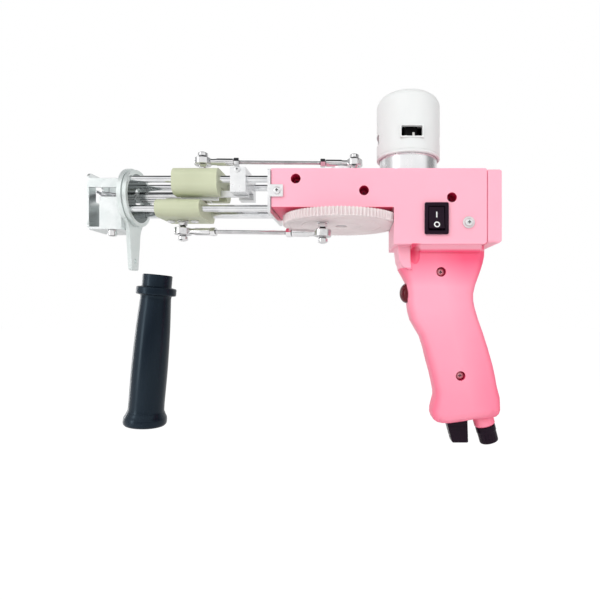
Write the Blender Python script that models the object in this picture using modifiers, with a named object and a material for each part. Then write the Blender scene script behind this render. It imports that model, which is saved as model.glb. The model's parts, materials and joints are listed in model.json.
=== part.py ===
"""Handheld tufting machine: a pistol-grip body, a motor and gear, two driven sliders and a foot.

Metres, +Z up. The origin is in the middle of the hand grip, the needle points to -X, and Y = 0 is
the plane where the two halves of the housing meet. The switch side faces -Y.
"""
import math

import bmesh
import bpy
from mathutils import Matrix, Vector

# Fits
seat_gap = 0.0003
overrun = 0.002
edge_round = 0.0012
merge_distance = 0.00001
housing_weld = 0.000015

# The needle's line, which the front and the drive are set out from
needle_height = 0.119

# Gear train
gear_module = 0.001
gear_teeth = 102
pinion_teeth = 18
gear_x = -0.0888
gear_thickness = 0.007
gear_web_recess = 0.0014
gear_web_inner = 0.013
gear_web_outer = 0.043
tooth_backlash = 0.0003
pinion_length = 0.012

# Housing
housing_half_width = 0.030
top_rise = 0.0175
housing_top = needle_height + top_rise
beam_front = -0.1465
beam_drop = 0.015
beam_bottom = needle_height - beam_drop
gear_drop = 0.0108
gear_bottom = beam_bottom - gear_drop
box_front = -0.044
box_rear = 0.0339
box_bottom = 0.0732
half_gap = 0.00015
seat_steps = 32
axle_steps = 16
handle_half_width = 0.0175
handle_edge_round = 0.0095
plinth_front = -0.0290
plinth_drop = 0.0056
plinth_top_inset = 0.0015
plinth_bottom_inset = 0.0105

# Handle outline: front edge from the box down, the foot of the handle, rear edge back up
handle_front_top = (-0.0405, 0.0835)
handle_outline = (
    (-0.0395, 0.068), (-0.0376, 0.0545), (-0.0312, 0.0430), (-0.0298, 0.0242), (-0.0267, 0.0091),
    (-0.0183, -0.0055), (-0.0125, -0.0264), (-0.0064, -0.0513), (-0.0057, -0.0589), (-0.0085, -0.0700),
    (-0.0072, -0.0785), (0.0000, -0.0817), (0.0110, -0.0812), (0.0281, -0.0785), (0.0474, -0.0759),
    (0.0513, -0.0694), (0.0481, -0.0475), (0.0448, -0.0307), (0.0359, -0.0011), (0.0290, 0.0200),
    (0.0277, 0.0322), (0.0320, 0.0470), (0.0360, 0.0590), (0.0375, 0.0700),
)
handle_rear_top = (0.0330, 0.0835)

# Rear cover
cover_thickness = 0.012
cover_inset = 0.0006
cover_corner = 0.0025

# Recessed screws that hold the halves together: places on the side, then depths
screw_recess_radius = 0.0042
screw_recess_depth = 0.012
screw_head_radius = 0.0034
screw_head_height = 0.0022
screw_shank_radius = 0.0016
screw_length = 0.030
housing_screw_spots = ((-0.126, 0.0087), (-0.069, -0.0011), (0.0043, -0.0069))
housing_screw_places = tuple((along, needle_height + rise) for along, rise in housing_screw_spots)
handle_screw_places = ((-0.0023, 0.0509), (0.0145, -0.0388))
handle_recess_depth = 0.0055

# Earth screw and washer on the side of the box
washer_place = (0.0182, 0.0911)
washer_radius = 0.005
washer_thickness = 0.0009
washer_screw_head_radius = 0.0032
washer_screw_head_height = 0.0018
washer_screw_length = 0.014

# Rocker switch
switch_place = (-0.0087, 0.0943)
switch_width = 0.0200
switch_height = 0.0265
switch_bezel = 0.0018
switch_frame = 0.0031
switch_depth = 0.016
rocker_throw = math.radians(14.0)

# Trigger
trigger_height = 0.0330
trigger_radius = 0.0088
trigger_dome = 0.0062
trigger_travel = 0.003

# Speed knob and the sleeve of the power lead, under the handle
grip_tilt = math.radians(15.0)
knob_place = (0.0403, -0.0854)
knob_boss_radius = 0.0092
knob_boss_height = 0.0150
knob_radius = 0.0088
knob_foot_radius = 0.0082
knob_height = 0.0155
knob_stem_radius = 0.003
knob_stem_length = 0.006
sleeve_place = (0.0140, -0.0806)
sleeve_top_half = (0.0098, 0.0068)
sleeve_bottom_half = (0.0072, 0.0056)
sleeve_length = 0.0195
sleeve_bore_radius = 0.0038
sleeve_seat = 0.0035

# Motor
can_radius = 0.0255
can_depth = 0.006
cap_radius = 0.0281
cap_lift = 0.0147
cap_bottom = housing_top + cap_lift
cap_height = 0.0573
cap_top = cap_bottom + cap_height
cap_shoulder = 0.0145
cap_wall = 0.0022
window_width = 0.0176
window_height = 0.0087
window_rise = 0.0171
window_centre = cap_bottom + window_rise
window_rim = 0.0012
window_rim_proud = 0.0007
brush_plate_thickness = 0.003
brush_box_width = 0.011
brush_box_height = 0.006
motor_shaft_radius = 0.0025
box_corner = 0.0035
reach = 0.4
handle_screw_length = 0.024
head_crown_share = 0.62
nut_crown_share = 1 / 3
switch_well = 0.0065
rocker_axis_depth = 0.0008
rocker_face = 0.0034
rocker_dish = 0.0006
rocker_side = 0.0005
rocker_heel = (0.0020, 0.0040)
rocker_end_clearance = 0.0009
trigger_front = -0.045
trigger_stop = -0.0215
trigger_front_face = -0.0302
trigger_dome_rings = 5
knob_waist_share = 0.4

# Gear train, worked out
motor_x = gear_x + gear_module * (gear_teeth + pinion_teeth) / 2
gear_tip = gear_module * (gear_teeth / 2 + 1)
pinion_tip = gear_module * (pinion_teeth / 2 + 1)
gear_running_gap = 0.0012
pinion_low = gear_bottom - gear_running_gap
shaft_way = 0.0008
bore_gap = 0.0003
axle_radius = 0.005
axle_collar_radius = 0.0075
bearing_radius = 0.009
bearing_height = 0.005
can_rise = 0.0245
can_top = housing_top + can_rise
can_shaft_depth = 0.009
shaft_low = pinion_low - seat_gap

# Cranks
crank_angle = math.radians(54.0)
needle_crank = 0.026
cutter_crank = 0.020
arm_thickness = 0.006
arm_lift = 0.0025
arm_low = housing_top + arm_lift
arm_hub_radius = 0.0095
arm_end_radius = 0.008
axle_top_recess = 0.0015
axle_slot_depth = 0.0006
root_depth_share = 1.25
brush_reach_share = 0.85

# Front frame
guide_radius = 0.003
guide_side = 0.0144
guide_rise = 0.0126
guide_high = needle_height + guide_rise
guide_drop = 0.0128
guide_low = needle_height - guide_drop
running_gap = 0.00015
plate_thickness = 0.0024
plate_drop = 0.02
plate_low = needle_height - plate_drop
plate_rise = 0.0166
plate_high = needle_height + plate_rise
ear_length = 0.0105
ear_height = 0.0102
ear_drop = 0.0016
ear_centre = needle_height - ear_drop
ear_thickness = 0.0016
ear_screw_radius = 0.0015
ear_screw_head = 0.003
ear_screw_head_height = 0.0018
ear_screw_length = 0.008
flange_back = -0.2704
flange_thickness = 0.0035
flange_radius = 0.0249
flange_bore = 0.009
flange_sink = 0.0011
flange_height = needle_height - flange_sink
bracket_thickness = 0.0035
bracket_radius = 0.0261
bracket_bore = 0.0196
leg_top_half = 0.0098
leg_bottom_half = 0.0062
leg_reach = 0.0644
leg_bottom = flange_height - leg_reach
leg_hole_rise = 0.0085
leg_hole_height = leg_bottom + leg_hole_rise
leg_hole_radius = 0.0022
ear_screw_x = -0.1412
guide_places = ((-guide_side, guide_high), (guide_side, guide_high), (-guide_side, guide_low),
                (guide_side, guide_low))
bar_way = 0.0065
rod_end_recess = 0.0006
leg_fillet_turn = 0.22
leg_fillet_drop = 0.004
leg_corner_share = 0.5
mid_back = -0.1702
mid_front = -0.1835
mid_half_width = 0.020
mid_rise = 0.0217
mid_high = needle_height + mid_rise
mid_low_rise = 0.0002
mid_low = needle_height + mid_low_rise
mid_web_rise = 0.0056
mid_web_low = needle_height + mid_web_rise
mid_ear_inner = 0.010
mid_screw_rise = 0.0196
mid_screw_place = (-0.1772, needle_height + mid_screw_rise)
mid_screw_radius = 0.0014
mid_screw_length = 0.005
mid_screw_head = 0.0026
mid_screw_head_height = 0.0012
stay_front = -0.2300
stay_thickness = 0.002
stay_side = 0.0073
stay_rise = 0.0043
stay_high = needle_height + stay_rise
stay_drop = 0.0045
stay_low = needle_height - stay_drop
stay_step = -0.1970
stay_step_drop = 0.0015
stay_step_low = needle_height - stay_step_drop

# Sliders: needle slider below, cutter slider above
upper_front = -0.2330
upper_back = -0.1944
upper_half_width = 0.0227
upper_rise = 0.0219
upper_high = needle_height + upper_rise
upper_drop = 0.0016
upper_low = needle_height - upper_drop
upper_round = 0.008
upper_tunnel_half = 0.009
upper_tunnel_rise = 0.0066
upper_tunnel_high = needle_height + upper_tunnel_rise
lower_front = -0.2477
lower_back = -0.2096
lower_half_width = 0.0222
lower_high_drop = 0.0053
lower_high = needle_height - lower_high_drop
lower_drop = 0.0205
lower_low = needle_height - lower_drop
lower_round = 0.0066
clamp_spread = 0.0105
clamp_length = 0.0150
clamp_head = 0.0034
clamp_head_height = 0.0020
bar_radius = 0.005
bar_front = -0.2765
bar_back = -0.2050
needle_socket_depth = 0.010
needle_radius = 0.0021
needle_bend = ((-0.2675, 0.0), (-0.2800, 0.0), (-0.2950, 0.0027), (-0.3080, 0.0051), (-0.3197, 0.0073))
needle_points = tuple((along, needle_height + rise) for along, rise in needle_bend)
needle_taper_shares = (1.0, 1.0, 0.9, 0.6, 0.1)
push_radius = 0.0015
push_side = 0.0122
push_rise = 0.002
push_height = needle_height + push_rise
push_tip = -0.2570
push_sunk = 0.006
push_way = 0.0006

# Tie rods
lower_ball_hang = 0.00985
lower_ball_front = (-0.2313, 0.0, lower_low - lower_ball_hang)
lower_ball_drop = 0.0096
upper_ball_stand = 0.0103
upper_ball_front = (-0.2133, 0.0, upper_high + upper_ball_stand)
upper_ball_rise = 0.0101
ball_radius = 0.0049
ball_half_height = 0.004
eye_radius = 0.0075
eye_half_height = 0.003
rod_end_length = 0.027
rod_end_shank = 0.0033
rod_end_neck = 0.0029
rod_end_neck_at = 0.0105
rod_end_root = 0.0058
rod_end_bore_depth = 0.009
tie_radius = 0.0019
tie_inserted = 0.008
nut_radius = 0.0040
nut_height = 0.0045
stud_neck = 0.0024
stud_collar = 0.0050
stud_collar_height = 0.0010
stud_hex_height = 0.0034
stud_tail_gap = 0.0006
stud_tail_radius = 0.0044
stud_tail_height = 0.0042

stud_sunk = 0.006
stud_ball_shares = (1.0, 0.4, -0.4, -1.0)
eye_bore_shares = (-1.0, 0.0, 1.0)
overlap = 0.0004

# Cutter and foot
blade_inner = 0.0025
blade_thickness = 0.0012
blade_gap = 0.0003
blade_pivot_drop = 0.0005
blade_back = flange_back - flange_thickness - seat_gap
blade_pivot_ahead = 0.0228
blade_pivot = (blade_back - blade_pivot_ahead, needle_height - blade_pivot_drop)
blade_pin_radius = 0.0011
# How far ahead of the flange, and how far over the needle, each corner of a blade is
fixed_blade_spots = (
    (0.0388, 0.0072), (0.0278, 0.0), (0.0178, -0.0075), (0.0098, -0.014), (0.0, -0.015),
    (0.0, -0.0095), (0.0140, -0.006), (0.0148, 0.0002), (0.0238, 0.0032),
)
fixed_blade_outline = tuple((blade_back - ahead, needle_height + rise) for ahead, rise in fixed_blade_spots)
moving_blade_spots = (
    (0.0394, 0.0078), (0.0298, -0.0002), (0.0233, -0.0028), (0.0148, 0.0), (0.0148, 0.0035),
    (0.0218, 0.0022), (0.0288, 0.0048),
)
moving_blade_outline = tuple((blade_back - ahead, needle_height + rise) for ahead, rise in moving_blade_spots)
lug_length = 0.0025
lug_ahead = 0.0148
lug_back = blade_back - lug_ahead
lug_front = lug_back - lug_length
lug_low_rise = 0.0005
lug_low = needle_height + lug_low_rise
lug_high_rise = 0.0032
lug_high = needle_height + lug_high_rise
lug_side = 0.0135
foot_back = flange_back - flange_thickness - bracket_thickness - 2 * seat_gap
foot_reach = 0.030
foot_front = foot_back - foot_reach
foot_thickness = 0.002
foot_half_width = 0.017
foot_drop = 0.031
foot_low = needle_height - foot_drop
foot_rise = 0.018
foot_high = needle_height + foot_rise
foot_corner = 0.005
foot_window_half = 0.0062
foot_window_drop = 0.0056
foot_window_low = needle_height - foot_window_drop
foot_window_rise = 0.01
foot_window_high = needle_height + foot_window_rise
foot_upper_rise = 0.005
foot_upper_low = needle_height + foot_upper_rise
foot_lower_drop = 0.003
foot_lower_high = needle_height - foot_lower_drop
foot_lower_inset = 0.011
foot_lower_front = foot_front + foot_lower_inset
foot_bolt_inset = 0.0185
foot_bolt_place = (foot_front + foot_bolt_inset, -0.0100)
foot_bolt_head = 0.0038
foot_bolt_head_height = 0.0046
foot_bolt_radius = 0.0020
foot_bolt_length = 0.0070

# Side grip, lying below the front where the photograph shows it
side_grip_drop = 0.004
side_grip_top = (-0.2539, leg_bottom - side_grip_drop)
side_grip_tilt = math.radians(4.97)
side_grip_bore = 0.0105
side_grip_bore_depth = 0.030
side_grip_profile = (
    (0.0124, 0.0), (0.0124, 0.0108), (0.0167, 0.0120), (0.0167, 0.0178), (0.0131, 0.0188),
    (0.0153, 0.0500), (0.0165, 0.0850), (0.0164, 0.1200),
    (0.0176, 0.1266), (0.0196, 0.1300), (0.0198, 0.1350), (0.0184, 0.1379),
)


def clear_scene():
    """Remove every object that the file holds."""
    for obj in list(bpy.data.objects):
        bpy.data.objects.remove(obj, do_unlink=True)


def collection(name):
    """Return the named collection, made and linked when it is new."""
    found = bpy.data.collections.get(name)
    if found is None:
        found = bpy.data.collections.new(name)
        bpy.context.scene.collection.children.link(found)
    return found


def material(name, colour, roughness, metallic=0.0):
    """Return a Principled material, made once for each name."""
    found = bpy.data.materials.get(name)
    if found is not None:
        return found
    made = bpy.data.materials.new(name)
    made.use_nodes = True
    shader = made.node_tree.nodes["Principled BSDF"]
    shader.inputs["Base Color"].default_value = (*colour, 1.0)
    shader.inputs["Roughness"].default_value = roughness
    shader.inputs["Metallic"].default_value = metallic
    made.diffuse_color = (*colour, 1.0)
    return made


CROSSED_SEATS = ("housing_", "front_plate")
PINK = ("housing_pink", (0.99, 0.48, 0.60), 0.35)
PINK_COVER = ("cover_pink", (0.99, 0.48, 0.60), 0.35)
STEEL = ("bright_steel", (0.72, 0.73, 0.74), 0.22, 1.0)
DARK_STEEL = ("dark_steel", (0.16, 0.16, 0.17), 0.35, 1.0)
ZINC = ("zinc_plate", (0.80, 0.81, 0.82), 0.32, 1.0)
CAST = ("cast_aluminium", (0.68, 0.73, 0.71), 0.42, 1.0)
NYLON = ("white_nylon", (0.86, 0.77, 0.77), 0.45)
CREAM = ("cream_acetal", (0.70, 0.73, 0.50), 0.45)
WHITE = ("white_plastic", (0.84, 0.85, 0.85), 0.35)
BLACK = ("black_plastic", (0.02, 0.02, 0.025), 0.35)
RED = ("trigger_red", (0.25, 0.01, 0.03), 0.15)
RUBBER = ("grip_rubber", (0.018, 0.024, 0.035), 0.55)
BRASS = ("bearing_bronze", (0.60, 0.42, 0.20), 0.35, 1.0)


def place(obj, look=None, parent=None):
    """Put an object in the machine's collection, with its material and its parent."""
    collection("tufting_machine").objects.link(obj)
    if look is not None:
        obj.data.materials.clear()
        obj.data.materials.append(material(*look))
    if parent is not None:
        obj.parent = parent
        obj.matrix_parent_inverse = Matrix.Translation(-Vector(parent.location))
    return obj


def hide(obj):
    """Keep an object as a cutter or a guide only."""
    for held in list(obj.users_collection):
        held.objects.unlink(obj)
    collection("cutters").objects.link(obj)
    obj.hide_render = True
    obj.display_type = "WIRE"
    return obj


def pivot(name, location):
    """Return an empty that stands on a joint's axis."""
    empty = bpy.data.objects.new(name, None)
    empty.location = location
    collection("tufting_machine").objects.link(empty)
    return empty


def at_mid(place_xz):
    """A point of the middle plane."""
    return (place_xz[0], 0.0, place_xz[1])


def circle(centre, radius, count, start=0.0):
    """Points round a circle."""
    turn = 2 * math.pi / count
    return [(centre[0] + radius * math.cos(start + turn * step),
             centre[1] + radius * math.sin(start + turn * step)) for step in range(count)]


def arc(centre, radius, start, end, count):
    """Points along an arc, both ends included."""
    swing = (end - start) / (count - 1)
    return [(centre[0] + radius * math.cos(start + swing * step),
             centre[1] + radius * math.sin(start + swing * step)) for step in range(count)]


def rounded(left, right, low, high, radius, count=4):
    """A rectangle with round corners, counter-clockwise from the lower right."""
    quarter = math.pi / 2
    return (arc((right - radius, low + radius), radius, -quarter, 0.0, count)
            + arc((right - radius, high - radius), radius, 0.0, quarter, count)
            + arc((left + radius, high - radius), radius, quarter, 2 * quarter, count)
            + arc((left + radius, low + radius), radius, 2 * quarter, 3 * quarter, count))


TURNS = {"X": (math.pi / 2, 0.0, math.pi / 2), "Y": (math.pi / 2, 0.0, 0.0), "Z": (0.0, 0.0, 0.0)}


def as_mesh(curve_object):
    """Turn a curve object into a mesh object with welded caps, at the same place."""
    bpy.context.scene.collection.objects.link(curve_object)
    bpy.context.view_layer.update()
    evaluated = curve_object.evaluated_get(bpy.context.evaluated_depsgraph_get())
    mesh = bpy.data.meshes.new_from_object(evaluated)
    work = bmesh.new()
    work.from_mesh(mesh)
    bmesh.ops.remove_doubles(work, verts=work.verts, dist=merge_distance)
    bmesh.ops.recalc_face_normals(work, faces=work.faces)
    work.to_mesh(mesh)
    work.free()
    made = bpy.data.objects.new(curve_object.name + "_mesh", mesh)
    made.matrix_world = curve_object.matrix_world.copy()
    name = curve_object.name
    bpy.data.objects.remove(curve_object, do_unlink=True)
    made.name = name
    return made


def flat(name, outlines, low, high, axis, smooth=False, round_by=0.0):
    """Extrude closed outlines from low to high along an axis; inner outlines are holes.

    round_by rounds the two long edges inside the given outline and ends.
    """
    data = bpy.data.curves.new(name, "CURVE")
    data.dimensions = "2D"
    data.fill_mode = "BOTH"
    data.extrude = (high - low) / 2 - round_by
    data.bevel_depth = round_by
    data.bevel_resolution = 2
    data.offset = -round_by
    for outline in outlines:
        if smooth and outline is outlines[0]:
            spline = data.splines.new("BEZIER")
            spline.bezier_points.add(len(outline) - 1)
            for point, (across, up) in zip(spline.bezier_points, outline):
                point.co = (across, up, 0.0)
                point.handle_left_type = point.handle_right_type = "AUTO"
            spline.resolution_u = 2
        else:
            spline = data.splines.new("POLY")
            spline.points.add(len(outline) - 1)
            for point, (across, up) in zip(spline.points, outline):
                point.co = (across, up, 0.0, 1.0)
        spline.use_cyclic_u = True
    curve_object = bpy.data.objects.new(name, data)
    middle = (low + high) / 2
    curve_object.rotation_euler = TURNS[axis]
    curve_object.location = {"X": (middle, 0, 0), "Y": (0, middle, 0), "Z": (0, 0, middle)}[axis]
    return as_mesh(curve_object)


def turned(name, profile, location, axis="Z", steps=24, closed=False, start=0.0):
    """Turn a profile of (radius, height) points round an axis through a point.

    The profile runs down its outer side, top to bottom. A closed profile goes back up its bore.
    It starts at an angle, so that a facet or a corner can face a given way.
    """
    mesh = bpy.data.meshes.new(name)
    edges = [(step, step + 1) for step in range(len(profile) - 1)]
    if closed:
        edges.append((len(profile) - 1, 0))
    mesh.from_pydata([(radius * math.cos(start), radius * math.sin(start), height)
                      for radius, height in profile], edges, [])
    obj = bpy.data.objects.new(name, mesh)
    screw = obj.modifiers.new("turn", "SCREW")
    screw.axis = "Z"
    screw.steps = screw.render_steps = steps
    screw.use_merge_vertices = True
    screw.merge_threshold = merge_distance
    screw.use_smooth_shade = True
    obj.location = location
    turn = {"Z": (0, 0, 0), "X": (0, math.pi / 2, 0), "-X": (0, -math.pi / 2, 0),
            "Y": (-math.pi / 2, 0, 0), "-Y": (math.pi / 2, 0, 0), "-Z": (math.pi, 0, 0)}
    obj.rotation_euler = turn[axis] if isinstance(axis, str) else axis
    return obj


def rod(name, radius, low, high, centre, axis, steps=20, chamfer=0.0, turn=0.0):
    """A plain round bar along an axis, from low to high."""
    length = high - low
    if chamfer:
        profile = [(0.0, length), (radius - chamfer, length), (radius, length - chamfer),
                   (radius, chamfer), (radius - chamfer, 0.0), (0.0, 0.0)]
    else:
        profile = [(0.0, length), (radius, length), (radius, 0.0), (0.0, 0.0)]
    foot = {"X": (low, centre[0], centre[1]), "Y": (centre[0], low, centre[1]),
            "Z": (centre[0], centre[1], low)}[axis]
    return turned(name, profile, foot, axis, steps, start=turn)


def block(name, low, high):
    """A box between two corners."""
    mesh = bpy.data.meshes.new(name)
    work = bmesh.new()
    bmesh.ops.create_cube(work, size=1.0)
    size = [top - bottom for bottom, top in zip(low, high)]
    bmesh.ops.scale(work, vec=size, verts=work.verts)
    work.to_mesh(mesh)
    work.free()
    obj = bpy.data.objects.new(name, mesh)
    obj.location = [(bottom + top) / 2 for bottom, top in zip(low, high)]
    return obj


def boolean(target, other, operation):
    """Cut a hidden shape out of a piece, or join it on.

    Pieces with many crossing seats take the solver that works on closed bodies only.
    """
    hide(other)
    step = target.modifiers.new(operation.lower(), "BOOLEAN")
    step.operation = operation
    step.solver = "MANIFOLD" if target.name.startswith(CROSSED_SEATS) else "EXACT"
    step.object = other
    return target


def cut(target, *others):
    """Cut several shapes out of a piece."""
    for other in others:
        boolean(target, other, "DIFFERENCE")
    return target


def join(target, *others):
    """Join several shapes onto a piece."""
    for other in others:
        boolean(target, other, "UNION")
    return target


def bevel(obj, width, segments=2, angle=math.radians(35)):
    """Round an object's sharp edges."""
    step = obj.modifiers.new("round", "BEVEL")
    step.width = width
    step.segments = segments
    step.limit_method = "ANGLE"
    step.angle_limit = angle
    step.harden_normals = False
    return obj


def mid_rod(name, radius, low, high, centre, axis, steps=16):
    """A bar for a hole that the middle plane crosses: no edge of it lies in that plane."""
    return rod(name, radius, low, high, centre, axis, steps, turn=math.pi / steps)


def housing_blank(name):
    """The whole body before it is split: beam and box, plinth, handle and knob boss."""
    outline = [
        (beam_front, housing_top), (beam_front, beam_bottom), (box_front, beam_bottom),
        (box_front, box_bottom),
        *arc((box_rear - box_corner, box_bottom + box_corner), box_corner, -math.pi / 2, 0.0, 4),
        (box_rear, housing_top),
    ]
    body = flat(name, [outline], -housing_half_width, housing_half_width, "Y")
    bevel(body, edge_round, 2)

    plinth = block(name + "_plinth", (plinth_front, -housing_half_width, box_bottom - plinth_drop),
                   (box_rear - box_corner, housing_half_width, box_bottom + overrun))
    for vertex in plinth.data.vertices:
        inset = plinth_bottom_inset if vertex.co.z < 0 else plinth_top_inset
        vertex.co.y -= math.copysign(inset, vertex.co.y)

    outline = [handle_front_top, *handle_outline, handle_rear_top]
    handle = flat(name + "_handle", [outline], -handle_half_width, handle_half_width, "Y", smooth=True,
                  round_by=handle_edge_round)

    boss = turned(name + "_boss", [(0.0, knob_boss_height), (knob_boss_radius, knob_boss_height),
                                   (knob_boss_radius, edge_round), (knob_boss_radius - edge_round, 0.0),
                                   (0.0, 0.0)], at_mid(knob_place), (0.0, -grip_tilt, 0.0), 24)
    return join(body, plinth, handle, boss)


def sleeve_blank(name, grow):
    """The tapered sleeve of the power lead, or the space for it."""
    sleeve = block(name, (-sleeve_top_half[0] - grow, -sleeve_top_half[1] - grow, -sleeve_length),
                   (sleeve_top_half[0] + grow, sleeve_top_half[1] + grow, sleeve_seat + grow))
    for vertex in sleeve.data.vertices:
        if vertex.co.z < 0:
            vertex.co.x *= sleeve_bottom_half[0] / sleeve_top_half[0]
            vertex.co.y *= sleeve_bottom_half[1] / sleeve_top_half[1]
    turn = Matrix.Rotation(-grip_tilt, 4, "Y")
    middle = Vector((0.0, 0.0, (sleeve_seat + grow - sleeve_length) / 2))
    sleeve.location = Vector(at_mid(sleeve_place)) + turn @ middle
    sleeve.rotation_euler = (0.0, -grip_tilt, 0.0)
    return sleeve


def housing_half(name, side):
    """One moulded half, side -1 for the switch side and +1 for the far side, with all its seats."""
    half = housing_blank(name)
    near, far = sorted((-side * reach, side * half_gap))
    cut(half, block(name + "_other_half", (-reach, near, -reach), (reach, far, reach)))
    cut(half, block(name + "_cover_seat", (box_rear + seat_gap / 2, -reach, box_bottom + cover_inset),
                    (reach, reach, reach)))

    axle = (gear_x, 0.0)
    motor = (motor_x, 0.0)
    top = housing_top + overrun
    can_way, can_seat = can_radius + seat_gap, housing_top - can_depth
    rotor_way = motor_shaft_radius + shaft_way
    pinion_way, pinion_top = pinion_tip + gear_running_gap, pinion_low + pinion_length + gear_running_gap
    pinion_floor = pinion_low - gear_running_gap
    bearing_way, axle_way = bearing_radius + seat_gap, axle_radius + shaft_way
    upper_seat = housing_top - bearing_height - seat_gap
    lower_seat = beam_bottom + bearing_height + seat_gap
    low = beam_bottom - overrun
    cut(half, mid_rod(name + "_gear_slot", gear_tip + gear_running_gap, gear_bottom - gear_running_gap,
                      gear_bottom + gear_thickness + gear_running_gap, axle, "Z", 64),
        turned(name + "_motor_way", [
            (0.0, top), (can_way, top), (can_way, can_seat), (rotor_way, can_seat), (rotor_way, pinion_top),
            (pinion_way, pinion_top), (pinion_way, pinion_floor), (0.0, pinion_floor),
        ], (*motor, 0.0), "Z", seat_steps, start=math.pi / seat_steps),
        turned(name + "_axle_way", [
            (0.0, top), (bearing_way, top), (bearing_way, upper_seat), (axle_way, upper_seat),
            (axle_way, lower_seat), (bearing_way, lower_seat), (bearing_way, low), (0.0, low),
        ], (*axle, 0.0), "Z", axle_steps, start=math.pi / axle_steps),
        mid_rod(name + "_trigger_way", trigger_radius + seat_gap, trigger_front, trigger_stop,
                (0.0, trigger_height), "X", 24))

    for number, (across, up) in enumerate((*housing_screw_places, *handle_screw_places)):
        on_handle = number >= len(housing_screw_places)
        face = handle_half_width if on_handle else housing_half_width
        depth = handle_recess_depth if on_handle else screw_recess_depth
        length = handle_screw_length if on_handle else screw_length
        floor = depth - face
        if side < 0:
            cut(half, mid_rod(f"{name}_recess_{number}", screw_recess_radius, -face - overrun, floor,
                              (across, up), "Y"))
        cut(half, mid_rod(f"{name}_way_{number}", screw_shank_radius + seat_gap, floor - seat_gap,
                          floor + length + seat_gap, (across, up), "Y", 12))

    if side < 0:
        across, up = switch_place
        pocket = (switch_width / 2 - switch_frame / 2, switch_height / 2 - switch_frame / 2)
        way = (pocket[0] + seat_gap, pocket[1] + seat_gap)
        cut(half, block(name + "_switch_way",
                        (across - way[0], -housing_half_width - overrun, up - way[1]),
                        (across + way[0], switch_depth - housing_half_width + seat_gap, up + way[1])),
            mid_rod(name + "_washer_way", screw_shank_radius + seat_gap, -housing_half_width - overrun,
                    washer_screw_length - housing_half_width + seat_gap, washer_place, "Y", 12))
    cut(half, sleeve_blank(name + "_sleeve_way", seat_gap),
        turned(name + "_stem_way", [(0.0, knob_stem_length + seat_gap),
                                    (knob_stem_radius + seat_gap, knob_stem_length + seat_gap),
                                    (knob_stem_radius + seat_gap, -overrun), (0.0, -overrun)],
               at_mid(knob_place), (0.0, -grip_tilt, 0.0), 16))
    low, high = sorted((side * (housing_half_width + overrun),
                        side * (housing_half_width - ear_screw_length - seat_gap)))
    cut(half, mid_rod(name + "_ear_way", ear_screw_radius + seat_gap, low, high,
                      (ear_screw_x, ear_centre), "Y", 12))
    weld = half.modifiers.new("weld", "WELD")
    weld.merge_threshold = housing_weld
    place(half, PINK)


def build_cover():
    """The thick cover that closes the back of the box."""
    outline = rounded(-housing_half_width, housing_half_width, box_bottom + cover_inset + seat_gap,
                      housing_top - cover_inset, cover_corner)
    cover = flat("rear_cover", [outline], box_rear + seat_gap, box_rear + cover_thickness, "X")
    bevel(cover, edge_round, 2)
    place(cover, PINK_COVER)


def recessed_screw(name, centre, floor, length):
    """A pan head screw whose head stands on a floor and whose shank runs to +Y."""
    screw = turned(name, [
        (0.0, length), (screw_shank_radius, length), (screw_shank_radius, 0.0), (screw_head_radius, 0.0),
        (screw_head_radius, -screw_head_height / 2),
        (screw_head_radius * head_crown_share, -screw_head_height), (0.0, -screw_head_height),
    ], (centre[0], floor - seat_gap, centre[1]), "Y", 12)
    place(screw, ZINC)
    return screw


def build_screws():
    """The screws of the two halves, with the earth screw and its washer."""
    for number, centre in enumerate(housing_screw_places, 1):
        recessed_screw(f"housing_screw_{number}", centre, screw_recess_depth - housing_half_width,
                       screw_length)
    for number, centre in enumerate(handle_screw_places, 1):
        recessed_screw(f"handle_screw_{number}", centre, handle_recess_depth - handle_half_width,
                       handle_screw_length)
    face = -housing_half_width
    washer = turned("side_washer", [
        (washer_radius, 0.0), (washer_radius, -washer_thickness),
        (screw_shank_radius + seat_gap, -washer_thickness), (screw_shank_radius + seat_gap, 0.0),
    ], (washer_place[0], face - seat_gap, washer_place[1]), "Y", 16, closed=True)
    place(washer, ZINC)
    seat = -washer_thickness - seat_gap
    screw = turned("side_screw", [
        (0.0, washer_screw_length - overrun), (screw_shank_radius, washer_screw_length - overrun),
        (screw_shank_radius, seat), (washer_screw_head_radius, seat),
        (washer_screw_head_radius, seat - washer_screw_head_height / 2),
        (washer_screw_head_radius * head_crown_share, seat - washer_screw_head_height),
        (0.0, seat - washer_screw_head_height),
    ], (washer_place[0], face - seat_gap, washer_place[1]), "Y", 12)
    place(screw, ZINC)


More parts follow.
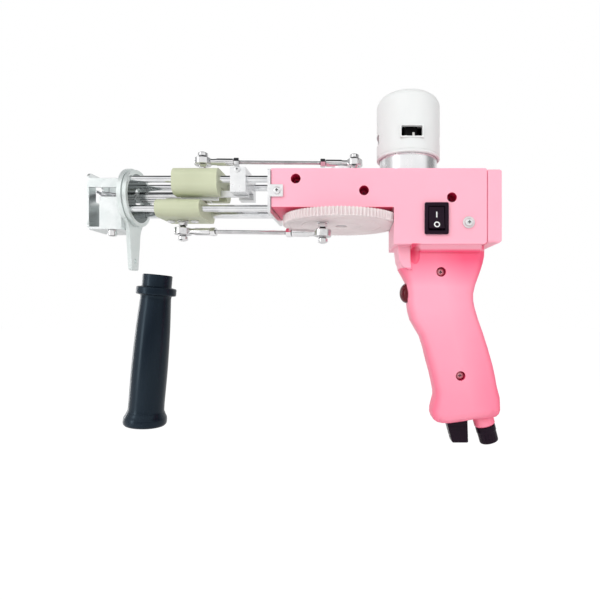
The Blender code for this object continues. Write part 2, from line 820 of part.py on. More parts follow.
def build_switch():
    """The rocker switch: a framed body let into the side, and a rocker on a cross axis."""
    across, up = switch_place
    face = -housing_half_width - seat_gap
    outer = rounded(across - switch_width / 2, across + switch_width / 2, up - switch_height / 2,
                    up + switch_height / 2, edge_round, 3)
    bezel = flat("switch_body", [outer], face - switch_bezel, face, "Y")
    inset = switch_frame / 2
    barrel = block("switch_barrel",
                   (across - switch_width / 2 + inset, face - switch_bezel / 2,
                    up - switch_height / 2 + inset),
                   (across + switch_width / 2 - inset, switch_depth - housing_half_width,
                    up + switch_height / 2 - inset))
    half_width = switch_width / 2 - switch_frame
    half_height = switch_height / 2 - switch_frame
    well = block("switch_well", (across - half_width, face - switch_bezel - overrun, up - half_height),
                 (across + half_width, face - switch_bezel + switch_well, up + half_height))
    join(bezel, barrel)
    cut(bezel, well)
    place(bezel, BLACK)

    axis_y = face + rocker_axis_depth
    end = half_height - rocker_end_clearance
    outline = [
        (-rocker_face, -end), (-rocker_face + rocker_dish, 0.0), (-rocker_face, end), (-rocker_dish, end),
        rocker_heel, (rocker_heel[0], -rocker_heel[1]), (-rocker_dish, -end),
    ]
    tilt = Matrix.Rotation(-rocker_throw / 2, 2)
    turned_outline = [tuple(tilt @ Vector(point)) for point in outline]
    rocker = flat("switch_rocker", [turned_outline], -half_width + rocker_side, half_width - rocker_side, "X")
    hinge = pivot("rocker_axis", (across, axis_y, up))
    place(rocker, BLACK)
    rocker.parent = hinge


def build_trigger():
    """The domed push button at the front of the handle."""
    back = trigger_stop - trigger_travel - seat_gap
    depth = back - trigger_front_face
    dome = [(trigger_radius * math.sin(turn), depth + trigger_dome * math.cos(turn))
            for turn in (step * math.pi / 2 / trigger_dome_rings for step in range(trigger_dome_rings + 1))]
    button = turned("trigger_button", [*dome, (trigger_radius, 0.0), (0.0, 0.0)],
                    (back, 0.0, trigger_height), "-X", 24)
    place(button, RED)


def build_lead_and_knob():
    """The sleeve of the power lead and the speed knob, both under the handle."""
    sleeve = sleeve_blank("power_lead_sleeve", 0.0)
    bevel(sleeve, edge_round, 2)
    bore = turned("lead_bore", [(0.0, 0.0), (sleeve_bore_radius, 0.0), (sleeve_bore_radius, -reach),
                                (0.0, -reach)], at_mid(sleeve_place), (0.0, -grip_tilt, 0.0), 16)
    cut(sleeve, bore)
    place(sleeve, BLACK)

    hinge = pivot("knob_axis", at_mid(knob_place))
    knob = turned("speed_knob", [
        (0.0, knob_stem_length), (knob_stem_radius, knob_stem_length), (knob_stem_radius, -seat_gap),
        (knob_radius, -seat_gap), (knob_radius, -knob_height * knob_waist_share),
        (knob_foot_radius, -knob_height + edge_round), (knob_foot_radius - edge_round, -knob_height),
        (0.0, -knob_height),
    ], (0.0, 0.0, 0.0), (0.0, -grip_tilt, 0.0), 24)
    place(knob, BLACK)
    knob.parent = hinge


def build_motor():
    """Motor can, windowed cap, brush plate and the rotor's shaft."""
    way = motor_shaft_radius + shaft_way
    can = turned("motor_can", [
        (0.0, can_top), (can_radius, can_top), (can_radius, housing_top - can_depth + seat_gap),
        (way, housing_top - can_depth + seat_gap), (way, housing_top - can_depth + can_shaft_depth),
        (0.0, housing_top - can_depth + can_shaft_depth),
    ], (motor_x, 0.0, 0.0), "Z", 36)
    place(can, STEEL)

    inner = cap_radius - cap_wall
    shoulder = arc((cap_radius - cap_shoulder, cap_top - cap_shoulder), cap_shoulder, math.pi / 2, 0.0, 5)
    inner_round = cap_shoulder - cap_wall
    lining = arc((cap_radius - cap_shoulder, cap_top - cap_shoulder), inner_round, 0.0, math.pi / 2, 3)
    cap = turned("motor_cap", [
        (0.0, cap_top), *shoulder, (cap_radius, cap_bottom), (inner, cap_bottom), *lining,
        (0.0, cap_top - cap_wall),
    ], (motor_x, 0.0, 0.0), "Z", 40)
    low = window_centre - window_height / 2
    high = window_centre + window_height / 2
    half = window_width / 2
    frame_half = half + window_rim
    proud = cap_radius + window_rim_proud
    join(cap, block("rim_side", (motor_x - frame_half, -proud, low - window_rim),
                    (motor_x + frame_half, -inner - seat_gap, high + window_rim)),
         block("rim_far", (motor_x - frame_half, inner + seat_gap, low - window_rim),
               (motor_x + frame_half, proud, high + window_rim)))
    out = proud + overrun
    cut(cap, block("window_side", (motor_x - half, -out, low), (motor_x + half, out, high)),
        block("window_front", (motor_x - out, -half, low), (motor_x + out, half, high)))
    place(cap, WHITE)

    plate_low_face = can_top + seat_gap
    plate_top = plate_low_face + brush_plate_thickness
    plate = turned("motor_brush_plate", [
        (0.0, plate_top), (inner - seat_gap, plate_top), (inner - seat_gap, plate_low_face),
        (0.0, plate_low_face),
    ], (motor_x, 0.0, 0.0), "Z", 24)
    for name, across in (("brush_x", (inner * brush_reach_share, brush_box_width / 2)),
                         ("brush_y", (brush_box_width / 2, inner * brush_reach_share))):
        join(plate, block(name, (motor_x - across[0], -across[1], plate_top - overrun),
                          (motor_x + across[0], across[1], plate_top + brush_box_height)))
    place(plate, DARK_STEEL)

    spin = pivot("motor_axis", (motor_x, 0.0, pinion_low))
    top = housing_top - can_depth + can_shaft_depth - seat_gap
    place(rod("motor_shaft", motor_shaft_radius, shaft_low, top, (motor_x, 0.0), "Z", 12), STEEL, spin)
    teeth = tooth_outline(pinion_teeth, math.pi + math.pi / pinion_teeth, 3)
    bore = circle((0.0, 0.0), motor_shaft_radius + bore_gap, 12)
    pinion = flat("motor_pinion", [teeth, bore], pinion_low, pinion_low + pinion_length, "Z")
    pinion.location.x = motor_x
    place(pinion, STEEL, spin)


def involute(angle):
    """The involute function of a pressure angle."""
    return math.tan(angle) - angle


def tooth_outline(teeth, start, flank_points):
    """The outline of a spur gear, its first tooth centred on the start angle.

    The flanks follow the involute from the base circle to the tip; below it they run straight in.
    """
    pressure = math.radians(20.0)
    pitch = gear_module * teeth / 2
    base = pitch * math.cos(pressure)
    tip = pitch + gear_module
    root = pitch - gear_module * root_depth_share
    half_at_pitch = (math.pi * gear_module / 2 - tooth_backlash) / (2 * pitch)
    points = []
    for tooth in range(teeth):
        centre = start + 2 * math.pi * tooth / teeth
        flank = []
        for step in range(flank_points):
            radius = root + (tip - root) * step / (flank_points - 1)
            slope = math.acos(min(1.0, base / max(radius, base)))
            flank.append((radius, half_at_pitch + involute(pressure) - involute(slope)))
        for radius, half in flank:
            points.append((radius * math.cos(centre - half), radius * math.sin(centre - half)))
        for radius, half in reversed(flank):
            points.append((radius * math.cos(centre + half), radius * math.sin(centre + half)))
    return points


def build_gear():
    """The large gear, the axle that it turns, the two bearings and the crank arm on top."""
    spin = pivot("gear_axis", (gear_x, 0.0, gear_bottom))
    bore = circle((0.0, 0.0), axle_radius + bore_gap, 16)
    gear = flat("drive_gear", [tooth_outline(gear_teeth, 0.0, 2), bore], gear_bottom,
                gear_bottom + gear_thickness, "Z")
    gear.location.x = gear_x
    top = gear_bottom + gear_thickness
    cut(gear, turned("web_space", [
        (gear_web_outer, top + overrun), (gear_web_outer, top - gear_web_recess),
        (gear_web_inner, top - gear_web_recess), (gear_web_inner, top + overrun),
    ], (gear_x, 0.0, 0.0), "Z", 32, closed=True))
    place(gear, NYLON, spin)

    arm_top = arm_low + arm_thickness
    axle = turned("gear_shaft", [
        (0.0, arm_top - axle_top_recess), (axle_radius, arm_top - axle_top_recess),
        (axle_radius, arm_low - seat_gap), (axle_collar_radius, arm_low - seat_gap),
        (axle_collar_radius, housing_top + seat_gap), (axle_radius, housing_top + seat_gap),
        (axle_radius, beam_bottom - seat_gap), (axle_collar_radius, beam_bottom - seat_gap),
        (axle_collar_radius, top + seat_gap), (axle_radius, top + seat_gap),
        (axle_radius, gear_bottom + axle_slot_depth), (0.0, gear_bottom + axle_slot_depth),
    ], (gear_x, 0.0, 0.0), "Z", 16)
    place(axle, STEEL, spin)

    for name, low in (("lower_bearing", beam_bottom),
                      ("upper_bearing", housing_top - bearing_height)):
        ring = turned(name, [
            (bearing_radius, low + bearing_height), (bearing_radius, low), (axle_radius + running_gap, low),
            (axle_radius + running_gap, low + bearing_height),
        ], (gear_x, 0.0, 0.0), "Z", 16, closed=True)
        place(ring, BRASS)

    away = (cutter_crank * math.cos(crank_angle), cutter_crank * math.sin(crank_angle))
    side = math.pi / 2
    outline = (arc(away, arm_end_radius, crank_angle - side, crank_angle + side, 9)
               + arc((0.0, 0.0), arm_hub_radius, crank_angle + side, crank_angle + 3 * side, 11))
    arm = flat("crank_arm", [outline, bore], arm_low, arm_top, "Z")
    arm.location.x = gear_x
    place(arm, ZINC, spin)


def build_front_frame():
    """Front plate, guide rods, mid bracket, stay, flange and the bracket that takes the side grip."""
    back = beam_front - seat_gap
    front = back - plate_thickness
    outer = housing_half_width + seat_gap + ear_thickness
    plate = flat("front_plate", [
        rounded(overlap - outer, outer - overlap, plate_low, plate_high, edge_round, 3),
        *[circle(point, guide_radius + bore_gap, 14) for point in guide_places[2:]],
        circle((0.0, needle_height), bar_way, 20),
    ], front, back, "X")
    for side in (-1, 1):
        near, far = sorted((side * outer, side * (housing_half_width + seat_gap)))
        ear = block("ear", (back - plate_thickness / 2, near, ear_centre - ear_height / 2),
                    (back + ear_length, far, ear_centre + ear_height / 2))
        join(plate, ear)
        near, far = sorted((side * (outer + overrun), side * (housing_half_width - overrun)))
        cut(plate, rod("ear_way", ear_screw_radius + bore_gap, near, far, (ear_screw_x, ear_centre), "Y", 12))
        name = "plate_screw_left" if side < 0 else "plate_screw_right"
        seat = outer + seat_gap
        screw = turned(name, [
            (0.0, seat + ear_screw_head_height),
            (ear_screw_head * head_crown_share, seat + ear_screw_head_height),
            (ear_screw_head, seat + ear_screw_head_height / 2), (ear_screw_head, seat),
            (ear_screw_radius, seat), (ear_screw_radius, housing_half_width - ear_screw_length),
            (0.0, housing_half_width - ear_screw_length),
        ], (ear_screw_x, 0.0, ear_centre), "Y" if side > 0 else "-Y", 12)
        place(screw, ZINC)
    cut(plate, *[rod("upper_rod_way", guide_radius + bore_gap, front - overrun, back + overrun, point,
                     "X", 20) for point in guide_places[:2]])
    place(plate, ZINC)

    for number, point in enumerate(guide_places, 1):
        bar = rod(f"guide_rod_{number}", guide_radius, flange_back - flange_thickness + rod_end_recess,
                  back - rod_end_recess, point, "X", 20)
        place(bar, STEEL)

    web = [
        (-mid_half_width, mid_low), (-mid_ear_inner, mid_low), (-mid_ear_inner, mid_web_low),
        (mid_ear_inner, mid_web_low), (mid_ear_inner, mid_low), (mid_half_width, mid_low),
        (mid_half_width, mid_high), (-mid_half_width, mid_high),
    ]
    bracket = flat("mid_bracket", [web, *[circle(point, guide_radius + bore_gap, 14)
                                          for point in guide_places[:2]]], mid_front, mid_back, "X")
    low = -mid_half_width - overrun
    cut(bracket, rod("mid_screw_way", mid_screw_radius + bore_gap, low, mid_screw_length - mid_half_width,
                     mid_screw_place, "Y", 12))
    place(bracket, ZINC)
    screw = turned("bracket_screw", [
        (0.0, mid_screw_length - seat_gap), (mid_screw_radius, mid_screw_length - seat_gap),
        (mid_screw_radius, -seat_gap), (mid_screw_head, -seat_gap),
        (mid_screw_head, -seat_gap - mid_screw_head_height / 2),
        (mid_screw_head * head_crown_share, -seat_gap - mid_screw_head_height),
        (0.0, -seat_gap - mid_screw_head_height),
    ], (mid_screw_place[0], -mid_half_width, mid_screw_place[1]), "Y", 12)
    place(screw, ZINC)

    stay_outline = [
        (stay_front, stay_low), (stay_step, stay_low), (stay_step, stay_step_low), (mid_back, stay_step_low),
        (mid_back, mid_web_low - seat_gap), (mid_front, mid_web_low - seat_gap), (mid_front, stay_high),
        (stay_front, stay_high),
    ]
    stay = flat("guide_plate", [stay_outline], -stay_side - stay_thickness / 2,
                -stay_side + stay_thickness / 2, "Y")
    place(stay, ZINC)

    holes = [circle((0.0, flange_height), flange_bore, 28),
             circle((push_side, push_height), push_radius + push_way, 12)]
    holes += [circle(point, guide_radius + bore_gap, 14) for point in guide_places]
    flange = flat("front_flange", [circle((0.0, flange_height), flange_radius, 40), *holes],
                  flange_back - flange_thickness, flange_back, "X")
    place(flange, CAST)

    reach_down = math.asin(leg_top_half / bracket_radius)
    ring = arc((0.0, flange_height), bracket_radius, -math.pi / 2 + reach_down + leg_fillet_turn,
               3 * math.pi / 2 - reach_down - leg_fillet_turn, 36)
    neck = flange_height - bracket_radius - leg_fillet_drop
    leg = [(-leg_top_half, neck), *leg_foot(), (leg_top_half, neck)]
    ring_outline = ring + leg
    bracket = flat("grip_bracket", [ring_outline, circle((0.0, flange_height), bracket_bore, 32),
                                    circle((0.0, leg_hole_height), leg_hole_radius, 12)],
                   flange_back - flange_thickness - seat_gap - bracket_thickness,
                   flange_back - flange_thickness - seat_gap, "X")
    bevel(bracket, edge_round, 1)
    place(bracket, CAST)


def leg_foot():
    """The lower end of the leg, with round corners."""
    corner = leg_bottom_half * leg_corner_share
    return (arc((-leg_bottom_half + corner, leg_bottom + corner), corner, math.pi, 3 * math.pi / 2, 4)
            + arc((leg_bottom_half - corner, leg_bottom + corner), corner, -math.pi / 2, 0.0, 4))


def build_sliders(needle_slide, cutter_slide):
    """The two plastic sliders with what they carry at the front."""
    holes = [circle(point, guide_radius + running_gap, 20) for point in guide_places]
    shape = rounded(-upper_half_width, upper_half_width, upper_low, upper_high, upper_round, 6)
    upper = flat("upper_slider", [shape, *holes[:2]], upper_front, upper_back, "X")
    cut(upper, block("tunnel", (upper_front - overrun, -upper_tunnel_half, upper_low - overrun),
                     (upper_back + overrun, upper_tunnel_half, upper_tunnel_high)),
        rod("push_seat", push_radius + bore_gap, upper_front - overrun, upper_front + push_sunk + seat_gap,
            (push_side, push_height), "X", 12),
        rod("upper_stud_way", stud_neck + bore_gap, upper_high - stud_sunk - seat_gap, upper_high + overrun,
            (upper_ball_front[0], upper_ball_front[1]), "Z", 12))
    place(upper, CREAM, cutter_slide)
    place(rod("scissor_push_rod", push_radius, push_tip, upper_front + push_sunk, (push_side, push_height),
              "X", 12), STEEL, cutter_slide)

    shape = rounded(-lower_half_width, lower_half_width, lower_low, lower_high, lower_round, 6)
    lower = flat("lower_slider", [shape, *holes[2:]], lower_front, lower_back, "X")
    stud_x = lower_ball_front[0]
    cut(lower, rod("lower_stud_way", stud_neck + bore_gap, lower_low - overrun,
                   lower_low + stud_sunk + seat_gap, (stud_x, 0.0), "Z", 12))
    for name, spread in (("clamp_screw_front", -clamp_spread), ("clamp_screw_rear", clamp_spread)):
        centre = (stud_x + spread, 0.0)
        cut(lower, rod(name + "_way", screw_shank_radius + bore_gap, lower_low - overrun,
                       lower_high + overrun, centre, "Z", 12))
        screw = turned(name, [
            (0.0, clamp_length), (screw_shank_radius, clamp_length), (screw_shank_radius, -seat_gap),
            (clamp_head, -seat_gap), (clamp_head, -seat_gap - clamp_head_height / 2),
            (clamp_head * head_crown_share, -seat_gap - clamp_head_height),
            (0.0, -seat_gap - clamp_head_height),
        ], (centre[0], 0.0, lower_low), "Z", 12)
        place(screw, ZINC, needle_slide)
    place(lower, CREAM, needle_slide)

    bar = rod("needle_bar", bar_radius, bar_front, bar_back, (0.0, needle_height), "X", 20, edge_round / 2)
    cut(bar, rod("needle_socket", needle_radius + bore_gap, bar_front - overrun,
                 bar_front + needle_socket_depth, (0.0, needle_height), "X", 12))
    place(bar, STEEL, needle_slide)

    data = bpy.data.curves.new("needle", "CURVE")
    data.dimensions = "3D"
    data.bevel_depth = needle_radius
    data.bevel_resolution = 2
    data.use_fill_caps = True
    spline = data.splines.new("POLY")
    spline.points.add(len(needle_points) - 1)
    for point, (along, up), share in zip(spline.points, needle_points, needle_taper_shares):
        point.co = (along, 0.0, up, 1.0)
        point.radius = share
    needle = as_mesh(bpy.data.objects.new("needle", data))
    place(needle, DARK_STEEL, needle_slide)


def stud(name, ball, seat_height, look_up, screw_depth, parent):
    """A ball stud: thread, collar, hexagon, ball and the end nut, turned about the vertical.

    look_up is +1 where the stud stands up from its seat and -1 where it hangs down from it.
    """
    drop = abs(ball[2] - seat_height)
    cut_radius = math.sqrt(ball_radius ** 2 - ball_half_height ** 2)
    rings = [(ball_radius * math.cos(turn), ball_radius * math.sin(turn))
             for turn in (math.asin(ball_half_height / ball_radius) * share for share in stud_ball_shares)]
    tail_low = ball_half_height + stud_tail_gap
    tail_high = tail_low + stud_tail_height
    profile = [
        (0.0, tail_high), (stud_tail_radius * head_crown_share, tail_high),
        (stud_tail_radius, tail_high - stud_tail_height * nut_crown_share), (stud_tail_radius, tail_low),
        (cut_radius, tail_low), *rings,
        (stud_neck, -drop + stud_collar_height + stud_hex_height), (stud_neck, -drop + stud_collar_height),
        (stud_collar, -drop + stud_collar_height), (stud_collar, -drop),
    ]
    if screw_depth:
        profile += [(stud_neck, -drop), (stud_neck, -drop - screw_depth), (0.0, -drop - screw_depth)]
    else:
        profile.append((0.0, -drop))
    body = turned(name, profile, ball, "Z" if look_up > 0 else "-Z", 14)
    hexagon = flat(name + "_hexagon", [circle((0.0, 0.0), nut_radius, 6)], 0.0, stud_hex_height, "Z")
    low = seat_height + look_up * (stud_collar_height - overlap)
    hexagon.location = (ball[0], ball[1], low + look_up * stud_hex_height / 2)
    join(body, hexagon)
    place(body, STEEL, parent)


def build_tie_rod(prefix, front, back, parent):
    """A tie rod between two balls: a rod end at each end, the threaded rod and its lock nuts."""
    run = Vector(back) - Vector(front)
    length = run.length
    along = run.normalized()
    for name, ball, way in ((prefix + "_rod_end_front", front, along),
                            (prefix + "_rod_end_rear", back, -along)):
        across = Vector((0.0, 0.0, 1.0)).cross(way).normalized()
        upright = way.cross(across).normalized()
        bore = ball_radius + bore_gap
        inner = [(math.sqrt(bore ** 2 - height ** 2), height)
                 for height in (eye_half_height * share for share in eye_bore_shares)]
        eye = turned(name, [
            (eye_radius, eye_half_height), (eye_radius, -eye_half_height), *inner,
        ], (0.0, 0.0, 0.0), "Z", 20, closed=True)
        shank = turned(name + "_shank", [
            (0.0, rod_end_length - rod_end_bore_depth),
            (tie_radius + bore_gap, rod_end_length - rod_end_bore_depth),
            (tie_radius + bore_gap, rod_end_length), (rod_end_neck, rod_end_length),
            (rod_end_shank, rod_end_length - rod_end_shank + rod_end_neck), (rod_end_shank, rod_end_neck_at),
            (rod_end_neck, rod_end_neck_at - rod_end_shank + rod_end_neck), (rod_end_neck, rod_end_root),
            (0.0, rod_end_root),
        ], (0.0, 0.0, 0.0), "Z", 12)
        frame = Matrix((way, across, upright)).transposed().to_4x4()
        frame.translation = ball
        eye.matrix_world = frame
        turn = Matrix((across, upright, way)).transposed().to_4x4()
        turn.translation = ball
        shank.matrix_world = turn
        join(eye, shank)
        place(eye, STEEL, parent)

    bar_start = rod_end_length - tie_inserted
    bar_length = length - 2 * bar_start
    bar = turned(prefix + "_rod", [(0.0, bar_length), (tie_radius, bar_length), (tie_radius, 0.0),
                                   (0.0, 0.0)], (0.0, 0.0, 0.0), "Z", 12)
    across = Vector((0.0, 0.0, 1.0)).cross(along).normalized()
    upright = along.cross(across).normalized()
    turn = Matrix((across, upright, along)).transposed().to_4x4()
    start = turn.copy()
    start.translation = Vector(front) + along * bar_start
    bar.matrix_world = start
    for name, place_along in ((prefix + "_nut_front", rod_end_length + seat_gap),
                              (prefix + "_nut_rear", length - rod_end_length - seat_gap - nut_height)):
        nut = flat(name, [circle((0.0, 0.0), nut_radius, 6)], 0.0, nut_height, "Z")
        seat = turn.copy()
        seat.translation = Vector(front) + along * (place_along + nut_height / 2)
        nut.matrix_world = seat
        join(bar, nut)
    place(bar, STEEL, parent)


def build_linkage(needle_slide, cutter_slide):
    """Both tie rods with their studs; each turns about the ball at its slider."""
    turn = (math.cos(crank_angle), math.sin(crank_angle))
    lower_back = (gear_x - needle_crank * turn[0], -needle_crank * turn[1], gear_bottom - lower_ball_drop)
    upper_back = (gear_x + cutter_crank * turn[0], cutter_crank * turn[1],
                  arm_low + arm_thickness + upper_ball_rise)
    lower_swing = pivot("lower_tie_axis", lower_ball_front)
    upper_swing = pivot("upper_tie_axis", upper_ball_front)
    build_tie_rod("lower_tie", lower_ball_front, lower_back, lower_swing)
    build_tie_rod("upper_tie", upper_ball_front, upper_back, upper_swing)
    stud("lower_crank_stud", lower_back, gear_bottom - seat_gap, -1, 0.0, lower_swing)
    stud("upper_crank_stud", upper_back, arm_low + arm_thickness + seat_gap, 1, 0.0, upper_swing)
    stud("lower_slider_stud", lower_ball_front, lower_low - seat_gap, -1, stud_sunk, needle_slide)
    stud("upper_slider_stud", upper_ball_front, upper_high + seat_gap, 1, stud_sunk, cutter_slide)


def build_cutter():
    """The two scissor blades at the front."""
    outer = blade_inner + blade_thickness
    fixed = flat("scissor_blade_fixed", [fixed_blade_outline], blade_inner, outer, "Y")
    pin_end = outer + 2 * blade_gap + blade_thickness
    join(fixed, rod("blade_pin", blade_pin_radius, outer - overlap, pin_end, blade_pivot, "Y", 12))
    place(fixed, DARK_STEEL)
    hinge = pivot("blade_axis", (blade_pivot[0], outer, blade_pivot[1]))
    low = outer + blade_gap
    moving = flat("scissor_blade_moving", [moving_blade_outline,
                                           circle(blade_pivot, blade_pin_radius + bore_gap, 12)],
                  low, low + blade_thickness, "Y")
    join(moving, block("blade_lug", (lug_front, low, lug_low), (lug_back, lug_side, lug_high)))
    place(moving, DARK_STEEL, hinge)


def build_foot():
    """The presser foot: front plate with its window, side arms, bottom plate and clamp bolt."""
    window = rounded(-foot_window_half, foot_window_half, foot_window_low, foot_window_high, edge_round, 3)
    outline = rounded(-foot_half_width, foot_half_width, foot_low, foot_high, foot_corner, 5)
    foot = flat("presser_foot", [outline, window], foot_front, foot_front + foot_thickness, "X")
    inside = foot_front + foot_thickness - overlap
    for side in (-1, 1):
        near, far = sorted((side * foot_half_width, side * (foot_half_width - foot_thickness)))
        join(foot, block("upper_arm", (inside, near, foot_upper_low),
                         (foot_back, far, foot_high - foot_corner)),
             block("lower_arm", (foot_lower_front, near, foot_low + foot_thickness / 2),
                   (foot_back, far, foot_lower_high)))
    x, y = foot_bolt_place
    join(foot, block("foot_floor", (inside, -foot_half_width, foot_low),
                     (foot_back, foot_half_width, foot_low + foot_thickness)))
    cut(foot, rod("foot_bolt_way", foot_bolt_radius + bore_gap, foot_low - overrun,
                  foot_low + foot_thickness + overrun, (x, y), "Z", 12))
    place(foot, CAST)
    bolt = turned("foot_bolt", [
        (0.0, foot_bolt_length), (foot_bolt_radius, foot_bolt_length), (foot_bolt_radius, -seat_gap),
        (foot_bolt_head, -seat_gap), (foot_bolt_head, -seat_gap - foot_bolt_head_height * head_crown_share),
        (foot_bolt_head * head_crown_share, -seat_gap - foot_bolt_head_height),
        (0.0, -seat_gap - foot_bolt_head_height),
    ], (x, y, foot_low), "Z", 14)
    place(bolt, STEEL)


def build_side_grip():
    """The rubber side grip, hollow at the top, shown taken off."""
    outside = [(radius, -depth) for radius, depth in side_grip_profile]
    profile = [(0.0, -side_grip_bore_depth), (side_grip_bore, -side_grip_bore_depth), (side_grip_bore, 0.0),
               *outside, (0.0, outside[-1][1])]
    grip = turned("side_grip", profile, at_mid(side_grip_top), (0.0, side_grip_tilt, 0.0), 24)
    place(grip, RUBBER)


def main():
    """Build the whole machine."""
    clear_scene()
    housing_half("housing_left", -1)
    housing_half("housing_right", 1)
    build_cover()
    build_screws()
    build_switch()
    build_trigger()
    build_lead_and_knob()
    build_motor()
    build_gear()
    build_front_frame()
    needle_slide = pivot("needle_slide_axis", (lower_front, 0.0, guide_low))
    cutter_slide = pivot("cutter_slide_axis", (upper_front, 0.0, guide_high))
    build_sliders(needle_slide, cutter_slide)
    build_linkage(needle_slide, cutter_slide)
    build_cutter()
    build_foot()
    build_side_grip()
    bpy.context.view_layer.update()


main()
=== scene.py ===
"""Looks of the handheld tufting machine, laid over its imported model."""
import json
import logging
import math
from contextlib import contextmanager
from dataclasses import dataclass, field
from enum import Enum
from typing import Callable, Iterable, Iterator, Sequence

import bmesh
import bpy
from mathutils import Matrix, Vector


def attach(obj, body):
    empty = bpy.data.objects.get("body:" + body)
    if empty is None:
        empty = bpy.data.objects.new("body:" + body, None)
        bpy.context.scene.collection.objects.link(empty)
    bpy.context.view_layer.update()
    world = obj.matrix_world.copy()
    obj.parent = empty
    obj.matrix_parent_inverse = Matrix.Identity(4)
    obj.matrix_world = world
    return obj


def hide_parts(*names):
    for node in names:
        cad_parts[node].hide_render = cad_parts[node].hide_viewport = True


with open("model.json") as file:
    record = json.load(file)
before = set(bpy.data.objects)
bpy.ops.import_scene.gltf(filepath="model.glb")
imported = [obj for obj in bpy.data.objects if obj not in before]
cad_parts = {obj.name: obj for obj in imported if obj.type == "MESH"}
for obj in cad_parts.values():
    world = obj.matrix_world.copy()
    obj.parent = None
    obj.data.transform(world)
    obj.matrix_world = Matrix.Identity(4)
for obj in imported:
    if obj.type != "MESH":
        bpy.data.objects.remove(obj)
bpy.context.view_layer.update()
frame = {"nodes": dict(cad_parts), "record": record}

log = logging.getLogger("tufting_machine")

Pair = tuple[float, float]
Triple = tuple[float, float, float]
Outline = list[Pair]
Piece = bpy.types.Object
Surface = bpy.types.Material

QUARTER = math.pi / 2
WELD = 0.000002
SEAT_GAP = 0.0003
SHARP_ANGLE = math.radians(33)
UP = Vector((0.0, 0.0, 1.0))
ORIGIN = (0.0, 0.0, 0.0)
EVEN = (1.0, 1.0, 1.0)
BRUSHED_DOWN = (1.0, 1.0, 0.35)
SKIN_GLOW = (1.0, 0.9, 0.9)

# Places that the scene shares with the solids, in metres
GEAR_X, GEAR_LOW, GEAR_HIGH = -0.0888, 0.0932, 0.1002
GEAR_AXIS = (GEAR_X, 0.0, 0.0)
MOTOR_X = -0.0288
MOTOR_AXIS = (MOTOR_X, 0.0, 0.0)
ARM_TOP = 0.145
NEEDLE_Z = 0.119
FLANGE_Z = 0.1179
ROD_Y, UPPER_ROD_Z, LOWER_ROD_Z = 0.0144, 0.1316, 0.1062
CRANK_ANGLE = math.radians(54.0)
LOWER_THROW, UPPER_THROW = 0.026, 0.020
LOWER_BALL_FRONT = Vector((-0.2313, 0.0, 0.08865))
UPPER_BALL_FRONT = Vector((-0.2133, 0.0, 0.1512))
LOWER_BALL_REAR = Vector((GEAR_X - LOWER_THROW * math.cos(CRANK_ANGLE),
                          -LOWER_THROW * math.sin(CRANK_ANGLE), 0.0836))
UPPER_BALL_REAR = Vector((GEAR_X + UPPER_THROW * math.cos(CRANK_ANGLE),
                          UPPER_THROW * math.sin(CRANK_ANGLE), 0.1551))
PUSH_ROD = (0.0122, 0.1210)
BODY_SCREWS = ((-0.126, 0.1277), (-0.069, 0.1179), (0.0043, 0.1121))
HANDLE_SCREWS = ((-0.0023, 0.0509), (0.0145, -0.0388))


class Axis(Enum):
    """A direction that a turned or extruded piece is made along."""

    X = (0.0, QUARTER, 0.0)
    MINUS_X = (0.0, -QUARTER, 0.0)
    Y = (-QUARTER, 0.0, 0.0)
    MINUS_Y = (QUARTER, 0.0, 0.0)
    Z = ORIGIN
    MINUS_Z = (math.pi, 0.0, 0.0)


class Slot(Enum):
    """The record's material slots."""

    PINK = "housing_pink"
    COVER = "cover_pink"
    STEEL = "bright_steel"
    DARK = "dark_steel"
    ZINC = "zinc_plate"
    CAST = "cast_aluminium"
    NYLON = "white_nylon"
    CREAM = "cream_acetal"
    WHITE = "white_plastic"
    BLACK = "black_plastic"
    RED = "trigger_red"
    RUBBER = "grip_rubber"
    BRONZE = "bearing_bronze"


def operator(operation: str, reflected: bool = False) -> Callable[["Wire", "Wire | float"], "Wire"]:
    """Make the method of one Python operator.

    Args:
        operation: The Math node's operation.
        reflected: True where the wire is the second operand.

    Returns:
        A method that adds the Math node and gives its result.
    """
    def method(self: "Wire", other: "Wire | float") -> "Wire":
        """Add the Math node."""
        first, second = (other, self) if reflected else (self, other)
        return self.recipe.out("ShaderNodeMath", {0: first, 1: second}, operation=operation)
    return method


@dataclass(eq=False)
class Wire:
    """A shader socket that takes part in Python sums; each sum adds its Math node."""

    recipe: "Recipe"
    socket: bpy.types.NodeSocket

    __add__ = __radd__ = operator("ADD")
    __sub__ = operator("SUBTRACT")
    __rsub__ = operator("SUBTRACT", True)
    __mul__ = __rmul__ = operator("MULTIPLY")
    __truediv__ = operator("DIVIDE")
    __rtruediv__ = operator("DIVIDE", True)
    __pow__ = operator("POWER")
    __gt__ = operator("GREATER_THAN")
    __lt__ = operator("LESS_THAN")

    def sine(self) -> "Wire":
        """The sine of self."""
        return self.recipe.out("ShaderNodeMath", {0: self}, operation="SINE")

    def ramp(self, low: float, high: float) -> "Wire":
        """self rescaled so that low becomes 0 and high becomes 1, held between them."""
        sockets = {"Value": self, "From Min": low, "From Max": high}
        return self.recipe.out("ShaderNodeMapRange", sockets, "Result", clamp=True)


